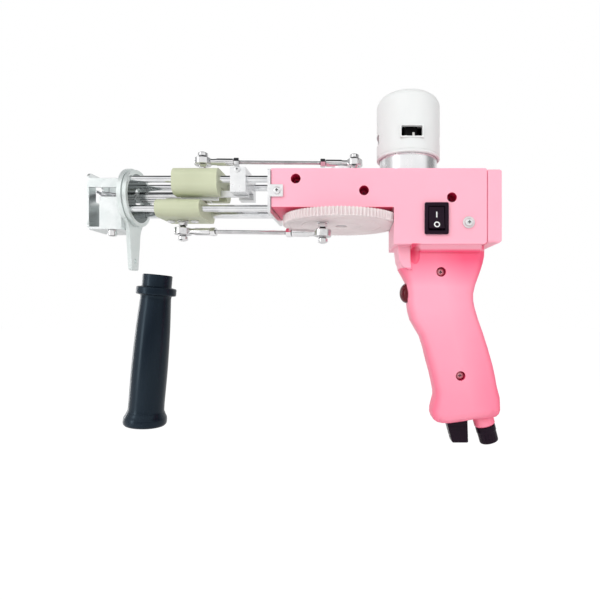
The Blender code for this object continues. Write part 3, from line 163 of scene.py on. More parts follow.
class Recipe:
    """Builds the node tree of one material, or of the world."""

    def __init__(self, name: str, world: bpy.types.World | None = None) -> None:
        """Start an empty tree.

        Args:
            name: The material's name.
            world: The world to fill, when it isn't a material.
        """
        self.block = world or bpy.data.materials.new(name)
        self.block.use_nodes = True
        self.tree = self.block.node_tree
        self.tree.nodes.clear()

    def node(self, kind: str, sockets: dict | None = None, **settings: object) -> bpy.types.Node:
        """Add any node.

        Args:
            kind: The node's type.
            sockets: Values or wires for its inputs.
            settings: Its settings, set first.

        Returns:
            The new node.
        """
        made = self.tree.nodes.new(kind)
        for key, value in settings.items():
            setattr(made, key, value)
        for key, value in (sockets or {}).items():
            if isinstance(value, Wire):
                self.tree.links.new(value.socket, made.inputs[key])
            else:
                made.inputs[key].default_value = value
        return made

    def out(self, kind: str, sockets: dict | None = None, output: int | str = 0, **settings: object) -> Wire:
        """Add any node and give one of its outputs."""
        return Wire(self, self.node(kind, sockets, **settings).outputs[output])

    def place(self, stretch: Triple = EVEN) -> Wire:
        """The point on the piece, in metres, stretched along its axes."""
        point = self.out("ShaderNodeTexCoord", output="Object")
        return self.out("ShaderNodeVectorMath", {0: point, 1: stretch}, operation="MULTIPLY")

    def noise(self, scale: float, detail: float = 2.0, stretch: Triple = EVEN) -> Wire:
        """Soft noise from 0 to 1, with a scale in bumps per metre and a number of finer layers."""
        point = self.place(stretch)
        return self.out("ShaderNodeTexNoise", {"Vector": point, "Scale": scale, "Detail": detail})

    def across(self, axis: str) -> Wire:
        """One coordinate of the point, in metres."""
        return self.out("ShaderNodeSeparateXYZ", {"Vector": self.place()}, axis)

    def facing(self, axis: str) -> Wire:
        """One component of the surface's own normal, from -1 to 1."""
        normal = self.out("ShaderNodeTexCoord", output="Normal")
        return self.out("ShaderNodeSeparateXYZ", {"Vector": normal}, axis)

    def marks(self) -> Wire:
        """Handling marks: 1 in a mark and 0 between them."""
        return self.noise(160.0, 4.0, BRUSHED_DOWN).ramp(0.56, 0.72)

    def shade(self, depth: float) -> Wire:
        """1 in the recesses of the same piece that are narrower than a depth, 0 on its open faces."""
        sky = self.out("ShaderNodeAmbientOcclusion", {"Distance": depth}, "AO", samples=8, only_local=True)
        return sky.ramp(0.80, 0.35)

    def distance(self, first: str, second: str, centre: Pair) -> Wire:
        """How far the point is from the axis that crosses two coordinates at a centre."""
        one, two = self.across(first) - centre[0], self.across(second) - centre[1]
        return (one * one + two * two) ** 0.5

    def mix(self, factor: Wire, first: Triple | Wire, second: Triple | Wire) -> Wire:
        """Blend two colours: factor 0 gives the first and 1 the second."""
        ends = [end if isinstance(end, Wire) else (*end, 1.0) for end in (first, second)]
        return self.out("ShaderNodeMix", {0: factor, 6: ends[0], 7: ends[1]}, 2, data_type="RGBA")

    def bump(self, height: Wire, depth: float) -> Wire:
        """The normal bumped by a height, where a height of 1 stands up by a depth in metres."""
        return self.out("ShaderNodeBump", {"Height": height, "Distance": depth, "Strength": 1.0}, "Normal")

    def end(self, surface: Wire) -> None:
        """Join a shader to the tree's output."""
        kind = "World" if isinstance(self.block, bpy.types.World) else "Material"
        self.node("ShaderNodeOutput" + kind, {"Surface": surface})

    def finish(self, colour: Wire, rough: Wire, normal: Wire, more: dict) -> Surface:
        """End the tree with a Principled shader.

        Args:
            colour: Its colour.
            rough: Its roughness.
            normal: Its normal.
            more: Its other inputs.

        Returns:
            The material.
        """
        varying = {"Base Color": colour, "Roughness": rough, "Normal": normal}
        self.end(self.out("ShaderNodeBsdfPrincipled", {**more, **varying}))
        return self.block


def glow(weight: float, scale: float = 0.004, tints: Triple = SKIN_GLOW) -> dict[str, float | Triple]:
    """The inputs for light that goes into a surface and comes out near by, or none for a weight of 0."""
    inputs = {"Subsurface Weight": weight, "Subsurface Scale": scale, "Subsurface Radius": tints}
    return inputs if weight else {}


@dataclass(frozen=True)
class Moulded:
    """A moulded plastic: broad colour drift, fine grain and a few handling marks."""

    name: str
    colour: Triple
    shade: Triple
    roughness: float
    grain: float = 2400.0
    depth: float = 0.00003
    depth_of_light: float = 0.0
    specular: float = 0.5

    def make(self) -> Surface:
        """Build the material.

        Returns:
            The material.
        """
        recipe = Recipe(self.name)
        broad = recipe.noise(22.0, 3.0)
        marks = recipe.marks()
        colour = recipe.mix(broad.ramp(0.32, 0.70), self.colour, self.shade)
        rough = self.roughness + (broad - 0.5) * 0.10 + marks * 0.05
        return recipe.finish(colour, rough, recipe.bump(recipe.noise(self.grain), self.depth),
                             {"Specular IOR Level": self.specular} | glow(self.depth_of_light))


@dataclass(frozen=True)
class PinkShell:
    """The pink shell: a pale box, a deeper handle, and painted shade: deeper pink towards the handle's edges,
    top, rear and foot, on the box's underside and seam, a shadow in the hollow under the box, and dark red
    inside the screw recesses.
    """

    name: str = "pink_shell"
    pale: Triple = (0.985, 0.452, 0.560)
    deep: Triple = (0.985, 0.400, 0.520)
    # The edge colour is the pink of the painted shade, on the handle's edges, the box's underside and its
    # seam.
    edge: Triple = (0.960, 0.100, 0.215)
    shadow: Triple = (0.80, 0.045, 0.130)
    recess_crimson_shade: Triple = (0.62, 0.022, 0.110)
    recess_radius: float = 0.0045
    skin_y: float = -0.0293
    handle_skin_y: float = -0.0168
    handle_top: float = 0.0705
    fairing_back: float = -0.0285
    fairing_low: float = 0.0545
    lean: float = 0.243
    underside: float = 0.1055
    arm_back: float = -0.045
    seam: float = 0.0333
    box_low: float = 0.0737
    roughness: float = 0.38
    grain: float = 2400.0
    depth: float = 0.000018
    depth_of_light: float = 0.10
    specular: float = 0.25

    def _handle_shade(self, recipe: Recipe, along: Wire, up: Wire, drift: Wire) -> Wire:
        """Painted shade on the handle's pink: under the box, towards its foot, its rear and its round edges.

        Args:
            recipe: The material's recipe.
            along: The point's X.
            up: The point's Z.
            drift: The broad noise.

        Returns:
            0 for the deep pink and 1 for the edge colour, where the painted shade is deepest.
        """
        middle = (0.030 - up) * self.lean - 0.001
        rear = (along - middle).ramp(0.002, 0.026) * 0.36
        top = up.ramp(0.038, 0.062) * 0.85
        foot = up.ramp(0.022, -0.065) * 0.42
        facing = recipe.facing("Y")
        flank = (facing * facing).ramp(0.85, 0.15) * 0.5
        return (rear + top + foot + flank + (drift - 0.5) * 0.2).ramp(0.0, 1.3)

    def make(self) -> Surface:
        """Build the material.

        Returns:
            The material.
        """
        recipe = Recipe(self.name)
        broad = recipe.noise(20.0, 3.0)
        marks = recipe.marks()
        along, up, side = recipe.across("X"), recipe.across("Z"), recipe.across("Y")
        box = recipe.mix(broad.ramp(0.3, 0.72), self.pale, tuple(tone * 0.975 for tone in self.pale))
        # Painted shade on the box: on its faces that turn down under the arm, and in a strip along its seam
        # with the rear cover.
        below = recipe.facing("Z").ramp(-0.4, -0.8) * (up < self.underside) * (along < self.arm_back)
        behind = (along > self.seam) * (up > self.handle_top) * 0.75
        box = recipe.mix(below + behind, box, self.edge)
        fairing = (along < self.fairing_back) * (up > self.fairing_low)
        handle = up.ramp(self.handle_top, self.handle_top - 0.002) * (1.0 - fairing)
        # Painted shade on the handle: from the deep pink towards the edge colour.
        grip = recipe.mix(self._handle_shade(recipe, along, up, broad), self.deep, self.edge)
        colour = recipe.mix(handle, box, grip)
        scoop = along.ramp(-0.0205, -0.0255) * along.ramp(-0.0295, -0.0285) * up.ramp(0.0560, 0.0660)
        colour = recipe.mix(scoop * (up < self.box_low) * 0.9, colour, self.shadow)
        # Painted shade: dark red inside the screw recesses of the left half.
        inside = ((side > self.skin_y) * (up > self.handle_top)
                  + (side > self.handle_skin_y) * (up < self.handle_top))
        for centre in BODY_SCREWS + HANDLE_SCREWS:
            hole = (recipe.distance("X", "Z", centre) < self.recess_radius) * inside * (side < 0.0)
            colour = recipe.mix(hole, colour, self.recess_crimson_shade)
        rough = self.roughness + (broad - 0.5) * 0.10 + marks * 0.05
        return recipe.finish(colour, rough, recipe.bump(recipe.noise(self.grain), self.depth),
                             {"Specular IOR Level": self.specular} | glow(self.depth_of_light))


@dataclass(frozen=True)
class Metal:
    """A drawn or plated metal, with streaks along one axis, a mottled plating and painted shade darkening its
    recesses.
    """

    name: str
    colour: Triple
    shade: Triple
    roughness: float
    stretch: Triple = EVEN
    streaks: float = 900.0
    depth: float = 0.00001
    swing: float = 0.12
    metallic: float = 1.0
    recess_shade_share: float = 0.10
    recess_depth: float = 0.0016

    def make(self) -> Surface:
        """Build the material.

        Returns:
            The material.
        """
        recipe = Recipe(self.name)
        streak = recipe.noise(self.streaks, 3.0, self.stretch)
        cloud = recipe.noise(90.0, 4.0)
        colour = recipe.mix(cloud.ramp(0.34, 0.72), self.colour, self.shade)
        # Painted shade: the colour darkens in the piece's own recesses, found by ambient occlusion.
        painted_recess_shade = tuple(tone * self.recess_shade_share for tone in self.shade)
        colour = recipe.mix(recipe.shade(self.recess_depth), colour, painted_recess_shade)
        rough = self.roughness + (streak - 0.5) * self.swing + (cloud - 0.5) * self.swing
        return recipe.finish(colour, rough, recipe.bump(streak, self.depth), {"Metallic": self.metallic})


@dataclass(frozen=True)
class Machined:
    """A piece whose face was turned: fine rings round an axis over a grainy skin, and, where a radius is
    given, a painted dark reflection on its rear face.
    """

    name: str
    colour: Triple
    shade: Triple
    roughness: float
    across: tuple[str, str]
    centre: Pair
    pitch: float
    depth: float = 0.00002
    metallic: float = 1.0
    ring_share: float = 0.7
    depth_of_light: float = 0.0
    dark_reflection_radius: float = 0.0
    dark_reflection: Triple = (0.15, 0.175, 0.172)

    def make(self) -> Surface:
        """Build the material.

        Returns:
            The material.
        """
        recipe = Recipe(self.name)
        radius = recipe.distance(*self.across, self.centre)
        rings = (radius * (2 * math.pi / self.pitch)).sine() * 0.5 + 0.5
        grain = recipe.noise(1500.0, 3.0)
        cloud = recipe.noise(45.0, 4.0)
        colour = recipe.mix(cloud.ramp(0.34, 0.70), self.colour, self.shade)
        rough = self.roughness + (grain - 0.5) * 0.16 + (cloud - 0.5) * 0.10
        more = {"Metallic": self.metallic} | glow(self.depth_of_light, 0.005, (1.0, 0.92, 0.94))
        # Painted reflection: within the given radius the rear face takes a dark colour that stands for what
        # it reflects, and is made smoother and fully metallic.
        if self.dark_reflection_radius:
            back = (recipe.facing("X") > 0.7) * radius.ramp(self.dark_reflection_radius + 0.0004, self.dark_reflection_radius)
            colour = recipe.mix(back, colour, self.dark_reflection)
            rough = rough * (1.0 - back * 0.6)
            more["Metallic"] = self.metallic + back * (1.0 - self.metallic)
        height = rings * self.ring_share + grain * (1.0 - self.ring_share)
        return recipe.finish(colour, rough, recipe.bump(height, self.depth), more)


@dataclass(frozen=True)
class Rubber:
    """Black rubber with a painted blue sheen on the side that turns to the left, where the light falls, and
    fine flow lines along it.
    """

    name: str
    deep: Triple
    lit_side_tone: Triple
    roughness: float
    specular: float = 0.34
    tint: Triple = (0.62, 0.85, 1.0)

    def make(self) -> Surface:
        """Build the material.

        Returns:
            The material.
        """
        recipe = Recipe(self.name)
        cloud = recipe.noise(38.0, 4.0, BRUSHED_DOWN)
        flow = recipe.noise(900.0, 3.0, (1.0, 1.0, 0.06))
        grain = recipe.noise(2600.0)
        # Painted light: faces that turn towards -X get the lighter, bluer tone.
        lit_side = recipe.facing("X").ramp(0.50, -0.70) * (0.75 + cloud * 0.5)
        colour = recipe.mix(lit_side.ramp(0.0, 1.15), self.deep, self.lit_side_tone)
        rough = self.roughness + (cloud - 0.5) * 0.16 + (grain - 0.5) * 0.08
        return recipe.finish(colour, rough, recipe.bump(flow * 0.6 + grain * 0.4, 0.00003),
                             {"Specular IOR Level": self.specular, "Specular Tint": (*self.tint, 1.0)})


FINISHES: dict[Slot, Moulded | Metal | Machined | PinkShell | Rubber] = {
    Slot.PINK: PinkShell(),
    Slot.COVER: Moulded("pink_cover", PinkShell.pale, (0.975, 0.440, 0.545), PinkShell.roughness,
                        depth=PinkShell.depth, depth_of_light=PinkShell.depth_of_light,
                        specular=PinkShell.specular),
    Slot.STEEL: Metal("bright_steel", (0.86, 0.855, 0.86), (0.68, 0.68, 0.69), 0.16, (0.06, 1.0, 1.0)),
    Slot.DARK: Metal("hard_steel", (0.34, 0.35, 0.36), (0.22, 0.23, 0.24), 0.28, (1.0, 1.0, 0.08)),
    Slot.ZINC: Metal("zinc_plate", (0.90, 0.905, 0.91), (0.78, 0.79, 0.80), 0.30, (1.0, 1.0, 0.15), 1200.0,
                     metallic=0.75),
    Slot.CAST: Machined("turned_casting", (0.82, 0.87, 0.86), (0.72, 0.78, 0.765), 0.34, ("Y", "Z"),
                        (0.0, FLANGE_Z), 0.0007, metallic=0.55),
    Slot.NYLON: Machined("moulded_gear", (0.84, 0.755, 0.755), (0.79, 0.69, 0.695), 0.42, ("X", "Y"),
                         (GEAR_X, 0.0), 0.0034, 0.00006, 0.0, 0.85, 0.35),
    Slot.CREAM: Moulded("cream_acetal", (0.575, 0.605, 0.435), (0.50, 0.53, 0.37), 0.40, 1700.0,
                        depth_of_light=0.2),
    Slot.WHITE: Moulded("white_cap", (0.785, 0.795, 0.79), (0.745, 0.76, 0.755), 0.33, 2000.0,
                        depth_of_light=0.2, specular=0.3),
    Slot.BLACK: Moulded("black_plastic", (0.009, 0.003, 0.009), (0.016, 0.006, 0.015), 0.24, 2600.0, 0.000012,
                        specular=0.13),
    Slot.RED: Moulded("trigger_red", (0.115, 0.001, 0.008), (0.06, 0.001, 0.004), 0.08, 900.0, 0.000004,
                      specular=0.3),
    Slot.RUBBER: Rubber("grip_rubber", (0.002, 0.004, 0.009), (0.013, 0.021, 0.032), 0.24),
    Slot.BRONZE: Metal("sintered_bronze", (0.62, 0.44, 0.22), (0.50, 0.34, 0.16), 0.38),
}


def mm(*points: Pair) -> Outline:
    """Points given in millimetres, as metres."""
    return [(across / 1000, up / 1000) for across, up in points]


def sweep(centre: Pair, radius: float, start: float, end: float, count: int) -> Outline:
    """Points along an arc, both ends included.

    Args:
        centre: The arc's centre.
        radius: Its radius.
        start: The angle of its first point.
        end: The angle of its last point.
        count: How many points.

    Returns:
        The points.
    """
    step = (end - start) / (count - 1)
    return [(centre[0] + radius * math.cos(start + step * index),
             centre[1] + radius * math.sin(start + step * index)) for index in range(count)]


def ring(centre: Pair, radius: float, count: int, start: float = 0.0) -> Outline:
    """So many points round a circle, from an angle on."""
    return sweep(centre, radius, start, start + 2 * math.pi * (count - 1) / count, count)


def rectangle(left: float, right: float, low: float, high: float) -> Outline:
    """A rectangle between its edges."""
    return [(right, low), (right, high), (left, high), (left, low)]


def soft_box(left: float, right: float, low: float, high: float, radius: float, count: int = 8) -> Outline:
    """A rectangle with round corners.

    Args:
        left: Its low edge across.
        right: Its high edge across.
        low: Its low edge upward.
        high: Its high edge upward.
        radius: The radius of its corners.
        count: How many points each corner has.

    Returns:
        The points, from the corner at the right and low.
    """
    corners = zip(rectangle(left + radius, right - radius, low + radius, high - radius), (-1, 0, 1, 2))
    return [point for centre, turn in corners
            for point in sweep(centre, radius, turn * QUARTER, (turn + 1) * QUARTER, count)]


@contextmanager
def editing(mesh: bpy.types.Mesh, source: bpy.types.Mesh | None = None) -> Iterator[bmesh.types.BMesh]:
    """Open a mesh for work, and write the work back.

    Args:
        mesh: The mesh that is written.
        source: The mesh that the work starts from, when it is another one.

    Returns:
        A context that gives the working mesh.
    """
    work = bmesh.new()
    work.from_mesh(source or mesh)
    yield work
    work.to_mesh(mesh)
    work.free()


def linked(name: str, data: bpy.types.ID) -> Piece:
    """Put a mesh, a curve, a lamp or a camera in the scene.

    Args:
        name: The object's name.
        data: What it shows.

    Returns:
        The object.
    """
    obj = bpy.data.objects.new(name, data)
    bpy.context.scene.collection.objects.link(obj)
    return obj


def evaluated(obj: Piece) -> bpy.types.Mesh:
    """The mesh of an object with its modifiers applied."""
    bpy.context.view_layer.update()
    return bpy.data.meshes.new_from_object(obj.evaluated_get(bpy.context.evaluated_depsgraph_get()))


def mesh_of_curve(data: bpy.types.Curve, splines: Iterable[Sequence[Sequence[float]]]) -> bpy.types.Mesh:
    """Draw straight splines into a curve and take the mesh that it makes.

    Args:
        data: The curve, with its settings.
        splines: For each spline, its points: their place, and their share of the curve's thickness.

    Returns:
        The mesh.
    """
    for places in splines:
        spline = data.splines.new("POLY")
        spline.points.add(len(places) - 1)
        for point, (*place, share) in zip(spline.points, places):
            point.co, point.radius = (*place, 1.0), share
        spline.use_cyclic_u = data.dimensions == "2D"
    curve = linked(data.name, data)
    mesh = evaluated(curve)
    bpy.data.objects.remove(curve, do_unlink=True)
    return mesh


def smooth(mesh: bpy.types.Mesh, angle: float = SHARP_ANGLE) -> None:
    """Shade a mesh smooth between edges that are sharper than an angle."""
    mesh.shade_smooth()
    mesh.set_sharp_from_angle(angle=angle)


def settle(obj: Piece, angle: float = SHARP_ANGLE) -> Piece:
    """Apply every modifier and the object's place, weld, and shade it smooth between sharp edges.

    Args:
        obj: The object.
        angle: Edges sharper than this stay sharp.

    Returns:
        The same object, at the origin.
    """
    mesh = evaluated(obj)
    obj.modifiers.clear()
    obj.data = mesh
    mesh.transform(obj.matrix_world)
    obj.matrix_world = Matrix.Identity(4)
    with editing(mesh) as work:
        bmesh.ops.remove_doubles(work, verts=work.verts, dist=WELD)
        bmesh.ops.recalc_face_normals(work, faces=work.faces)
    if "custom_normal" in mesh.attributes:
        mesh.attributes.remove(mesh.attributes["custom_normal"])
    smooth(mesh, angle)
    return obj


def eased(obj: Piece, width: float, segments: int = 2, angle: float = SHARP_ANGLE) -> Piece:
    """Round the sharp edges.

    Args:
        obj: The object.
        width: How wide the rounding is.
        segments: Its steps.
        angle: Edges sharper than this are rounded.

    Returns:
        The same object.
    """
    step = obj.modifiers.new("eased", "BEVEL")
    step.width, step.segments, step.limit_method, step.angle_limit = width, segments, "ANGLE", angle
    return obj


def lathe(name: str, profile: Sequence[Pair], place: Vector | Triple, axis: Axis | Matrix = Axis.Z,
          steps: int = 48, closed: bool = False, start: float = 0.0) -> Piece:
    """Turn a profile of (radius, height) pairs.

    Args:
        name: The object's name.
        profile: The outer side from top to bottom; a closed one comes back up its bore.
        place: The point at height 0 on the axis.
        axis: The axis, or a whole frame whose Z is the axis.
        steps: Facets round the axis.
        closed: True for a ring.
        start: The angle of the first facet edge.

    Returns:
        The turned body.
    """
    obj = linked(name, bpy.data.meshes.new(name))
    with editing(obj.data) as work:
        rows = []
        for radius, height in profile:
            if radius < WELD:
                rows.append([work.verts.new((0.0, 0.0, height))] * steps)
            else:
                round_row = ring((0.0, 0.0), radius, steps, start)
                rows.append([work.verts.new((*point, height)) for point in round_row])
        for upper, lower in list(zip(rows, rows[1:])) + ([(rows[-1], rows[0])] if closed else []):
            for index in range(steps):
                after = (index + 1) % steps
                corners = list(dict.fromkeys([upper[index], lower[index], lower[after], upper[after]]))
                if len(corners) > 2:
                    work.faces.new(corners)
        bmesh.ops.recalc_face_normals(work, faces=work.faces)
    if isinstance(axis, Matrix):
        obj.matrix_world = Matrix.Translation(place) @ axis.to_4x4()
    else:
        obj.rotation_euler, obj.location = axis.value, place
    return obj


def prism(name: str, outlines: Sequence[Outline], low: float, high: float, axis: Axis) -> Piece:
    """Extrude closed outlines; the later ones are holes.

    Args:
        name: The object's name.
        outlines: The outer outline, then its holes.
        low: Where it starts along the axis.
        high: Where it ends.
        axis: Axis.X takes (y, z) pairs, Axis.Y takes (x, z) pairs and Axis.Z takes (x, y) pairs.

    Returns:
        The extruded body.
    """
    data = bpy.data.curves.new(name, "CURVE")
    data.dimensions, data.fill_mode, data.extrude = "2D", "BOTH", (high - low) / 2
    obj = linked(name, mesh_of_curve(data, ([(*point, 0.0, 1.0) for point in line] for line in outlines)))
    with editing(obj.data) as work:
        bmesh.ops.remove_doubles(work, verts=work.verts, dist=WELD)
        bmesh.ops.dissolve_limit(work, angle_limit=math.radians(1.0), verts=work.verts, edges=work.edges)
        bmesh.ops.recalc_face_normals(work, faces=work.faces)
    obj.rotation_euler = {Axis.X: (QUARTER, 0.0, QUARTER), Axis.Y: (QUARTER, 0.0, 0.0), Axis.Z: ORIGIN}[axis]
    obj.location["XYZ".index(axis.name)] = (low + high) / 2
    return obj


def brick(name: str, low: Triple, high: Triple) -> Piece:
    """A block between two corners, made to be cut or joined."""
    return prism(name, [rectangle(low[0], high[0], low[1], high[1])], low[2], high[2], Axis.Z)


def carve(target: Piece, tools: Iterable[Piece], operation: str = "DIFFERENCE") -> Piece:
    """Cut tools out of a piece, or join them on, and throw the tools away.

    Args:
        target: The piece.
        tools: The tools.
        operation: The Boolean's operation.

    Returns:
        The piece, with its modifiers applied.
    """
    used = list(tools)
    for tool in used:
        step = target.modifiers.new("carve", "BOOLEAN")
        step.operation, step.solver, step.object = operation, "EXACT", tool
    settle(target)
    for tool in used:
        bpy.data.objects.remove(tool, do_unlink=True)
    return target


def merged(name: str, parts: Sequence[Piece]) -> Piece:
    """Put several bodies in one object without cutting them.

    Args:
        name: The new object's name.
        parts: The bodies, which go into it.

    Returns:
        The new object.
    """
    mesh = bpy.data.meshes.new(name)
    with editing(mesh) as work:
        for part in parts:
            work.from_mesh(settle(part).data)
            bpy.data.objects.remove(part, do_unlink=True)
    smooth(mesh)
    return linked(name, mesh)


def frame_along(way: Vector) -> Matrix:
    """A 3 by 3 frame whose Z runs along a direction and whose X stays level."""
    across = UP.cross(way).normalized()
    return Matrix((across, way.cross(across).normalized(), way)).transposed()


def refined(node: str, width: float, segments: int = 2, angle: float = SHARP_ANGLE) -> Piece:
    """A finer copy of a solid, with its flat faces made whole and its edges rounded.

    Args:
        node: The solid's name.
        width: How wide the rounding is.
        segments: Its steps.
        angle: Edges sharper than this are rounded.

    Returns:
        The copy.
    """
    obj = linked(node + "_fine", bpy.data.meshes.new(node + "_fine"))
    with editing(obj.data, frame["nodes"][node].data) as work:
        bmesh.ops.remove_doubles(work, verts=work.verts, dist=WELD)
        bmesh.ops.dissolve_limit(work, angle_limit=math.radians(0.5), verts=work.verts, edges=work.edges)
    return settle(eased(obj, width, segments, angle))


class Bench:
    """Finishes pieces: material, body, slot and the solids that each one stands for."""

    def __init__(self) -> None:
        """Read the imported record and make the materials."""
        record = frame["record"]
        self.body = {node: body for body, nodes in record["behaviour"]["bodies"].items() for node in nodes}
        self.slots = {part["node"]: Slot(part["material_slot"]) for part in record["subparts"]}
        self.looks = {slot: finish.make() for slot, finish in FINISHES.items()}
        self.laid = 0

    def lay(self, obj: Piece, *nodes: str, slot: Slot | None = None, look: Surface | None = None,
            stands_for: bool = True) -> None:
        """Finish one piece.

        Args:
            obj: The piece, at its place.
            nodes: The solids that it stands for or sits on; the first gives its body.
            slot: Its slot, when it isn't that of the first solid.
            look: Its material, when it isn't the slot's own.
            stands_for: False for a detail that leaves the solid showing.
        """
        chosen = slot or self.slots[nodes[0]]
        obj.data.materials.clear()
        obj.data.materials.append(look or self.looks[chosen])
        obj.modifiers.new("even", "WEIGHTED_NORMAL").keep_sharp = True
        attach(obj, self.body[nodes[0]])
        if stands_for:
            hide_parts(*nodes)
        self.laid += 1
        log.info("laid %s on %s", obj.name, self.body[nodes[0]])

    def turn(self, node: str, name: str, profile: Sequence[Pair], place: Vector | Triple, axis: Axis = Axis.Z,
             steps: int = 48, closed: bool = False, look: Surface | None = None) -> None:
        """Turn a piece that stands for one solid, as lathe does, and finish it."""
        self.lay(settle(lathe(name, profile, place, axis, steps, closed)), node, look=look)

    def dress_rest(self) -> None:
        """Give every solid the finish of its slot, shown or not."""
        for name, obj in frame["nodes"].items():
            obj.data.materials.clear()
            obj.data.materials.append(self.looks[self.slots[name]])


@dataclass
class CrossScrew:
    """A pan head screw with a cross recess, seen from its head."""

    head_radius: float
    head_height: float
    shank_radius: float
    length: float
    arm_share: float = 0.62
    arm_width_share: float = 0.20
    recess_shade_share: float = 0.62
    taper: float = 0.45
    crown_share: float = 0.62

    def build(self, name: str, seat: Vector | Triple, axis: Axis) -> Piece:
        """Build the screw.

        Args:
            name: Its name.
            seat: Where the underside of its head is.
            axis: The way that its shank points.

        Returns:
            The screw.
        """
        top, shank = -self.head_height, self.shank_radius
        rise = self.head_height * self.crown_share
        crown = [(self.head_radius * math.sin(turn), top + rise * (1 - math.cos(turn)))
                 for turn in (QUARTER * step / 6 for step in range(1, 7))]
        profile = [(0.0, self.length), (shank * 0.7, self.length), (shank, self.length - shank * 0.5),
                   (shank, 0.0), (self.head_radius, 0.0), *reversed(crown), (0.0, top)]
        screw = settle(lathe(name, profile, seat, axis, 32))
        half, width = self.head_radius * self.arm_share, self.head_radius * self.arm_width_share
        depth = self.head_height * self.recess_shade_share
        tools = []
        for along, side in ((half, width), (width, half)):
            tool = settle(brick("cross", (-along, -side, top - depth), (along, side, top + depth)))
            for vertex in tool.data.vertices:
                if vertex.co.z > top:
                    vertex.co.x *= self.taper
                    vertex.co.y *= self.taper
            tool.data.update()
            tool.location, tool.rotation_euler = seat, axis.value
            tools.append(tool)
        return carve(screw, tools)


@dataclass
class Shell:
    """The pink body: two moulded halves, the rear cover and the screws that hold them."""

    bench: Bench
    edge: float = 0.0003
    body_screw_y: float = -0.018 - SEAT_GAP
    handle_screw_y: float = -0.012 - SEAT_GAP
    washer: Triple = (0.0182, -0.0303, 0.0911)
    hollow: Pair = (-0.0248, 0.0198)
    hollow_low: float = 0.0640
    hollow_high: float = 0.0738
    hollow_radius: float = 0.0046
    box_corners: tuple[tuple[float, float, int, int, float], ...] = ((0.0339, 0.1365, 1, 1, 0.0026),)
    cover_corners: tuple[tuple[float, float, int, int, float], ...] = (
        (0.0459, 0.1359, 1, 1, 0.0028), (0.0459, 0.0741, 1, -1, 0.0028),
        (0.0342, 0.1359, -1, 1, 0.0016), (0.0342, 0.0741, -1, -1, 0.0016))

    def build(self) -> None:
        """Build every piece of the shell."""
        for node, side in (("housing_left", -1), ("housing_right", 1), ("rear_cover", 0)):
            tools = [self._corner(*corner) for corner in (self.box_corners if side else self.cover_corners)]
            if side:
                tools.append(self._hollow(side))
            self.bench.lay(carve(refined(node, self.edge, 2, math.radians(40)), tools), node)
        self._fairing()
        self._screws()
        self._earth()

    @staticmethod
    def _corner(across: float, up: float, ahead: int, above: int, radius: float) -> Piece:
        """A tool that rounds one corner of the side view.

        Args:
            across: The corner's X.
            up: The corner's Z.
            ahead: The sign of X that points out of the body.
            above: The sign of Z that points out of the body.
            radius: The radius left behind.

        Returns:
            The tool.
        """
        spare, half_width = 0.002, 0.04
        start = math.atan2(0.0, ahead) if ahead * above > 0 else math.atan2(above, 0.0)
        curve = sweep((across - ahead * radius, up - above * radius), radius, start, start + QUARTER, 7)
        out = (across + ahead * spare, up + above * spare)
        first, last = curve[0], curve[-1]
        rim = [(out[0], last[1]), out, (first[0], out[1])]
        if abs(first[0] - across) < WELD:
            rim = [(last[0], out[1]), out, (out[0], first[1])]
        return prism("corner", [curve + rim], -half_width, half_width, Axis.Y)

    def _hollow(self, side: int) -> Piece:
        """Make the tool for the scooped hollow under the box, behind the fairing.

        Args:
            side: -1 for the left half and 1 for the right one.

        Returns:
            The piece.
        """
        radius, low, high = self.hollow_radius, self.hollow_low, self.hollow_high
        scoop = [(radius * math.cos(turn), low - radius * 1.6 * math.sin(turn))
                 for turn in (QUARTER * step / 8 for step in range(8))]
        profile = [(0.0, high), (radius, high), *scoop, (0.0, low - radius * 1.6)]
        return settle(lathe("hollow", profile, (self.hollow[0], side * self.hollow[1], 0.0), Axis.Z, 32))

    def _fairing(self) -> None:
        """The raised block at the front of the handle's top, in two halves."""
        outline = mm((-40.2, 74.2), (-29.0, 74.2), (-28.6, 59.0), (-27.2, 53.0), (-30.0, 52.2), (-36.0, 56.0),
                     (-38.5, 61.0))
        for node, low, high in (("housing_left", -0.0186, -0.0004), ("housing_right", 0.0004, 0.0186)):
            block = prism(node + "_fairing", [outline], low, high, Axis.Y)
            self.bench.lay(settle(eased(block, 0.0009, 3)), node, stands_for=False)

    def _screws(self) -> None:
        """The screws down in their recesses, with the recess's shade and the pink light reflected from round
        them painted into their colour.
        """
        # Painted shade and painted pink reflection: the housing screws are dark red, the handle screws
        # pinkish steel.
        sunk = Metal("sunk_screw", (0.55, 0.040, 0.130), (0.42, 0.02, 0.085), 0.40, metallic=0.3).make()
        pink_reflection_look = Metal("screw_painted_pink_reflection", (0.80, 0.42, 0.47), (0.66, 0.28, 0.34), 0.34, metallic=0.5).make()
        for kind, places, floor_y, length, look in (
                ("housing_screw", BODY_SCREWS, self.body_screw_y, 0.030, sunk),
                ("handle_screw", HANDLE_SCREWS, self.handle_screw_y, 0.024, pink_reflection_look)):
            head = CrossScrew(0.0034, 0.0022, 0.0016, length)
            for number, (across, up) in enumerate(places, 1):
                screw = head.build(f"{kind}_{number}_cross", (across, floor_y, up), Axis.Y)
                self.bench.lay(screw, f"{kind}_{number}", look=look)

    def _earth(self) -> None:
        """The washer and its screw on the side."""
        plated = Metal("washer_plate", (0.86, 0.80, 0.81), (0.72, 0.66, 0.67), 0.34, metallic=0.6).make()
        profile = mm((5.0, -0.2), (4.8, 0.0), (1.9, 0.0), (1.9, -0.9), (4.7, -0.9), (5.0, -0.7))
        self.bench.turn("side_washer", "earth_washer", profile, self.washer, Axis.Y, closed=True, look=plated)
        head = CrossScrew(0.0032, 0.0018, 0.0016, 0.0105)
        seat = (self.washer[0], self.washer[1] - 0.0012, self.washer[2])
        self.bench.lay(head.build("earth_screw", seat, Axis.Y), "side_screw")


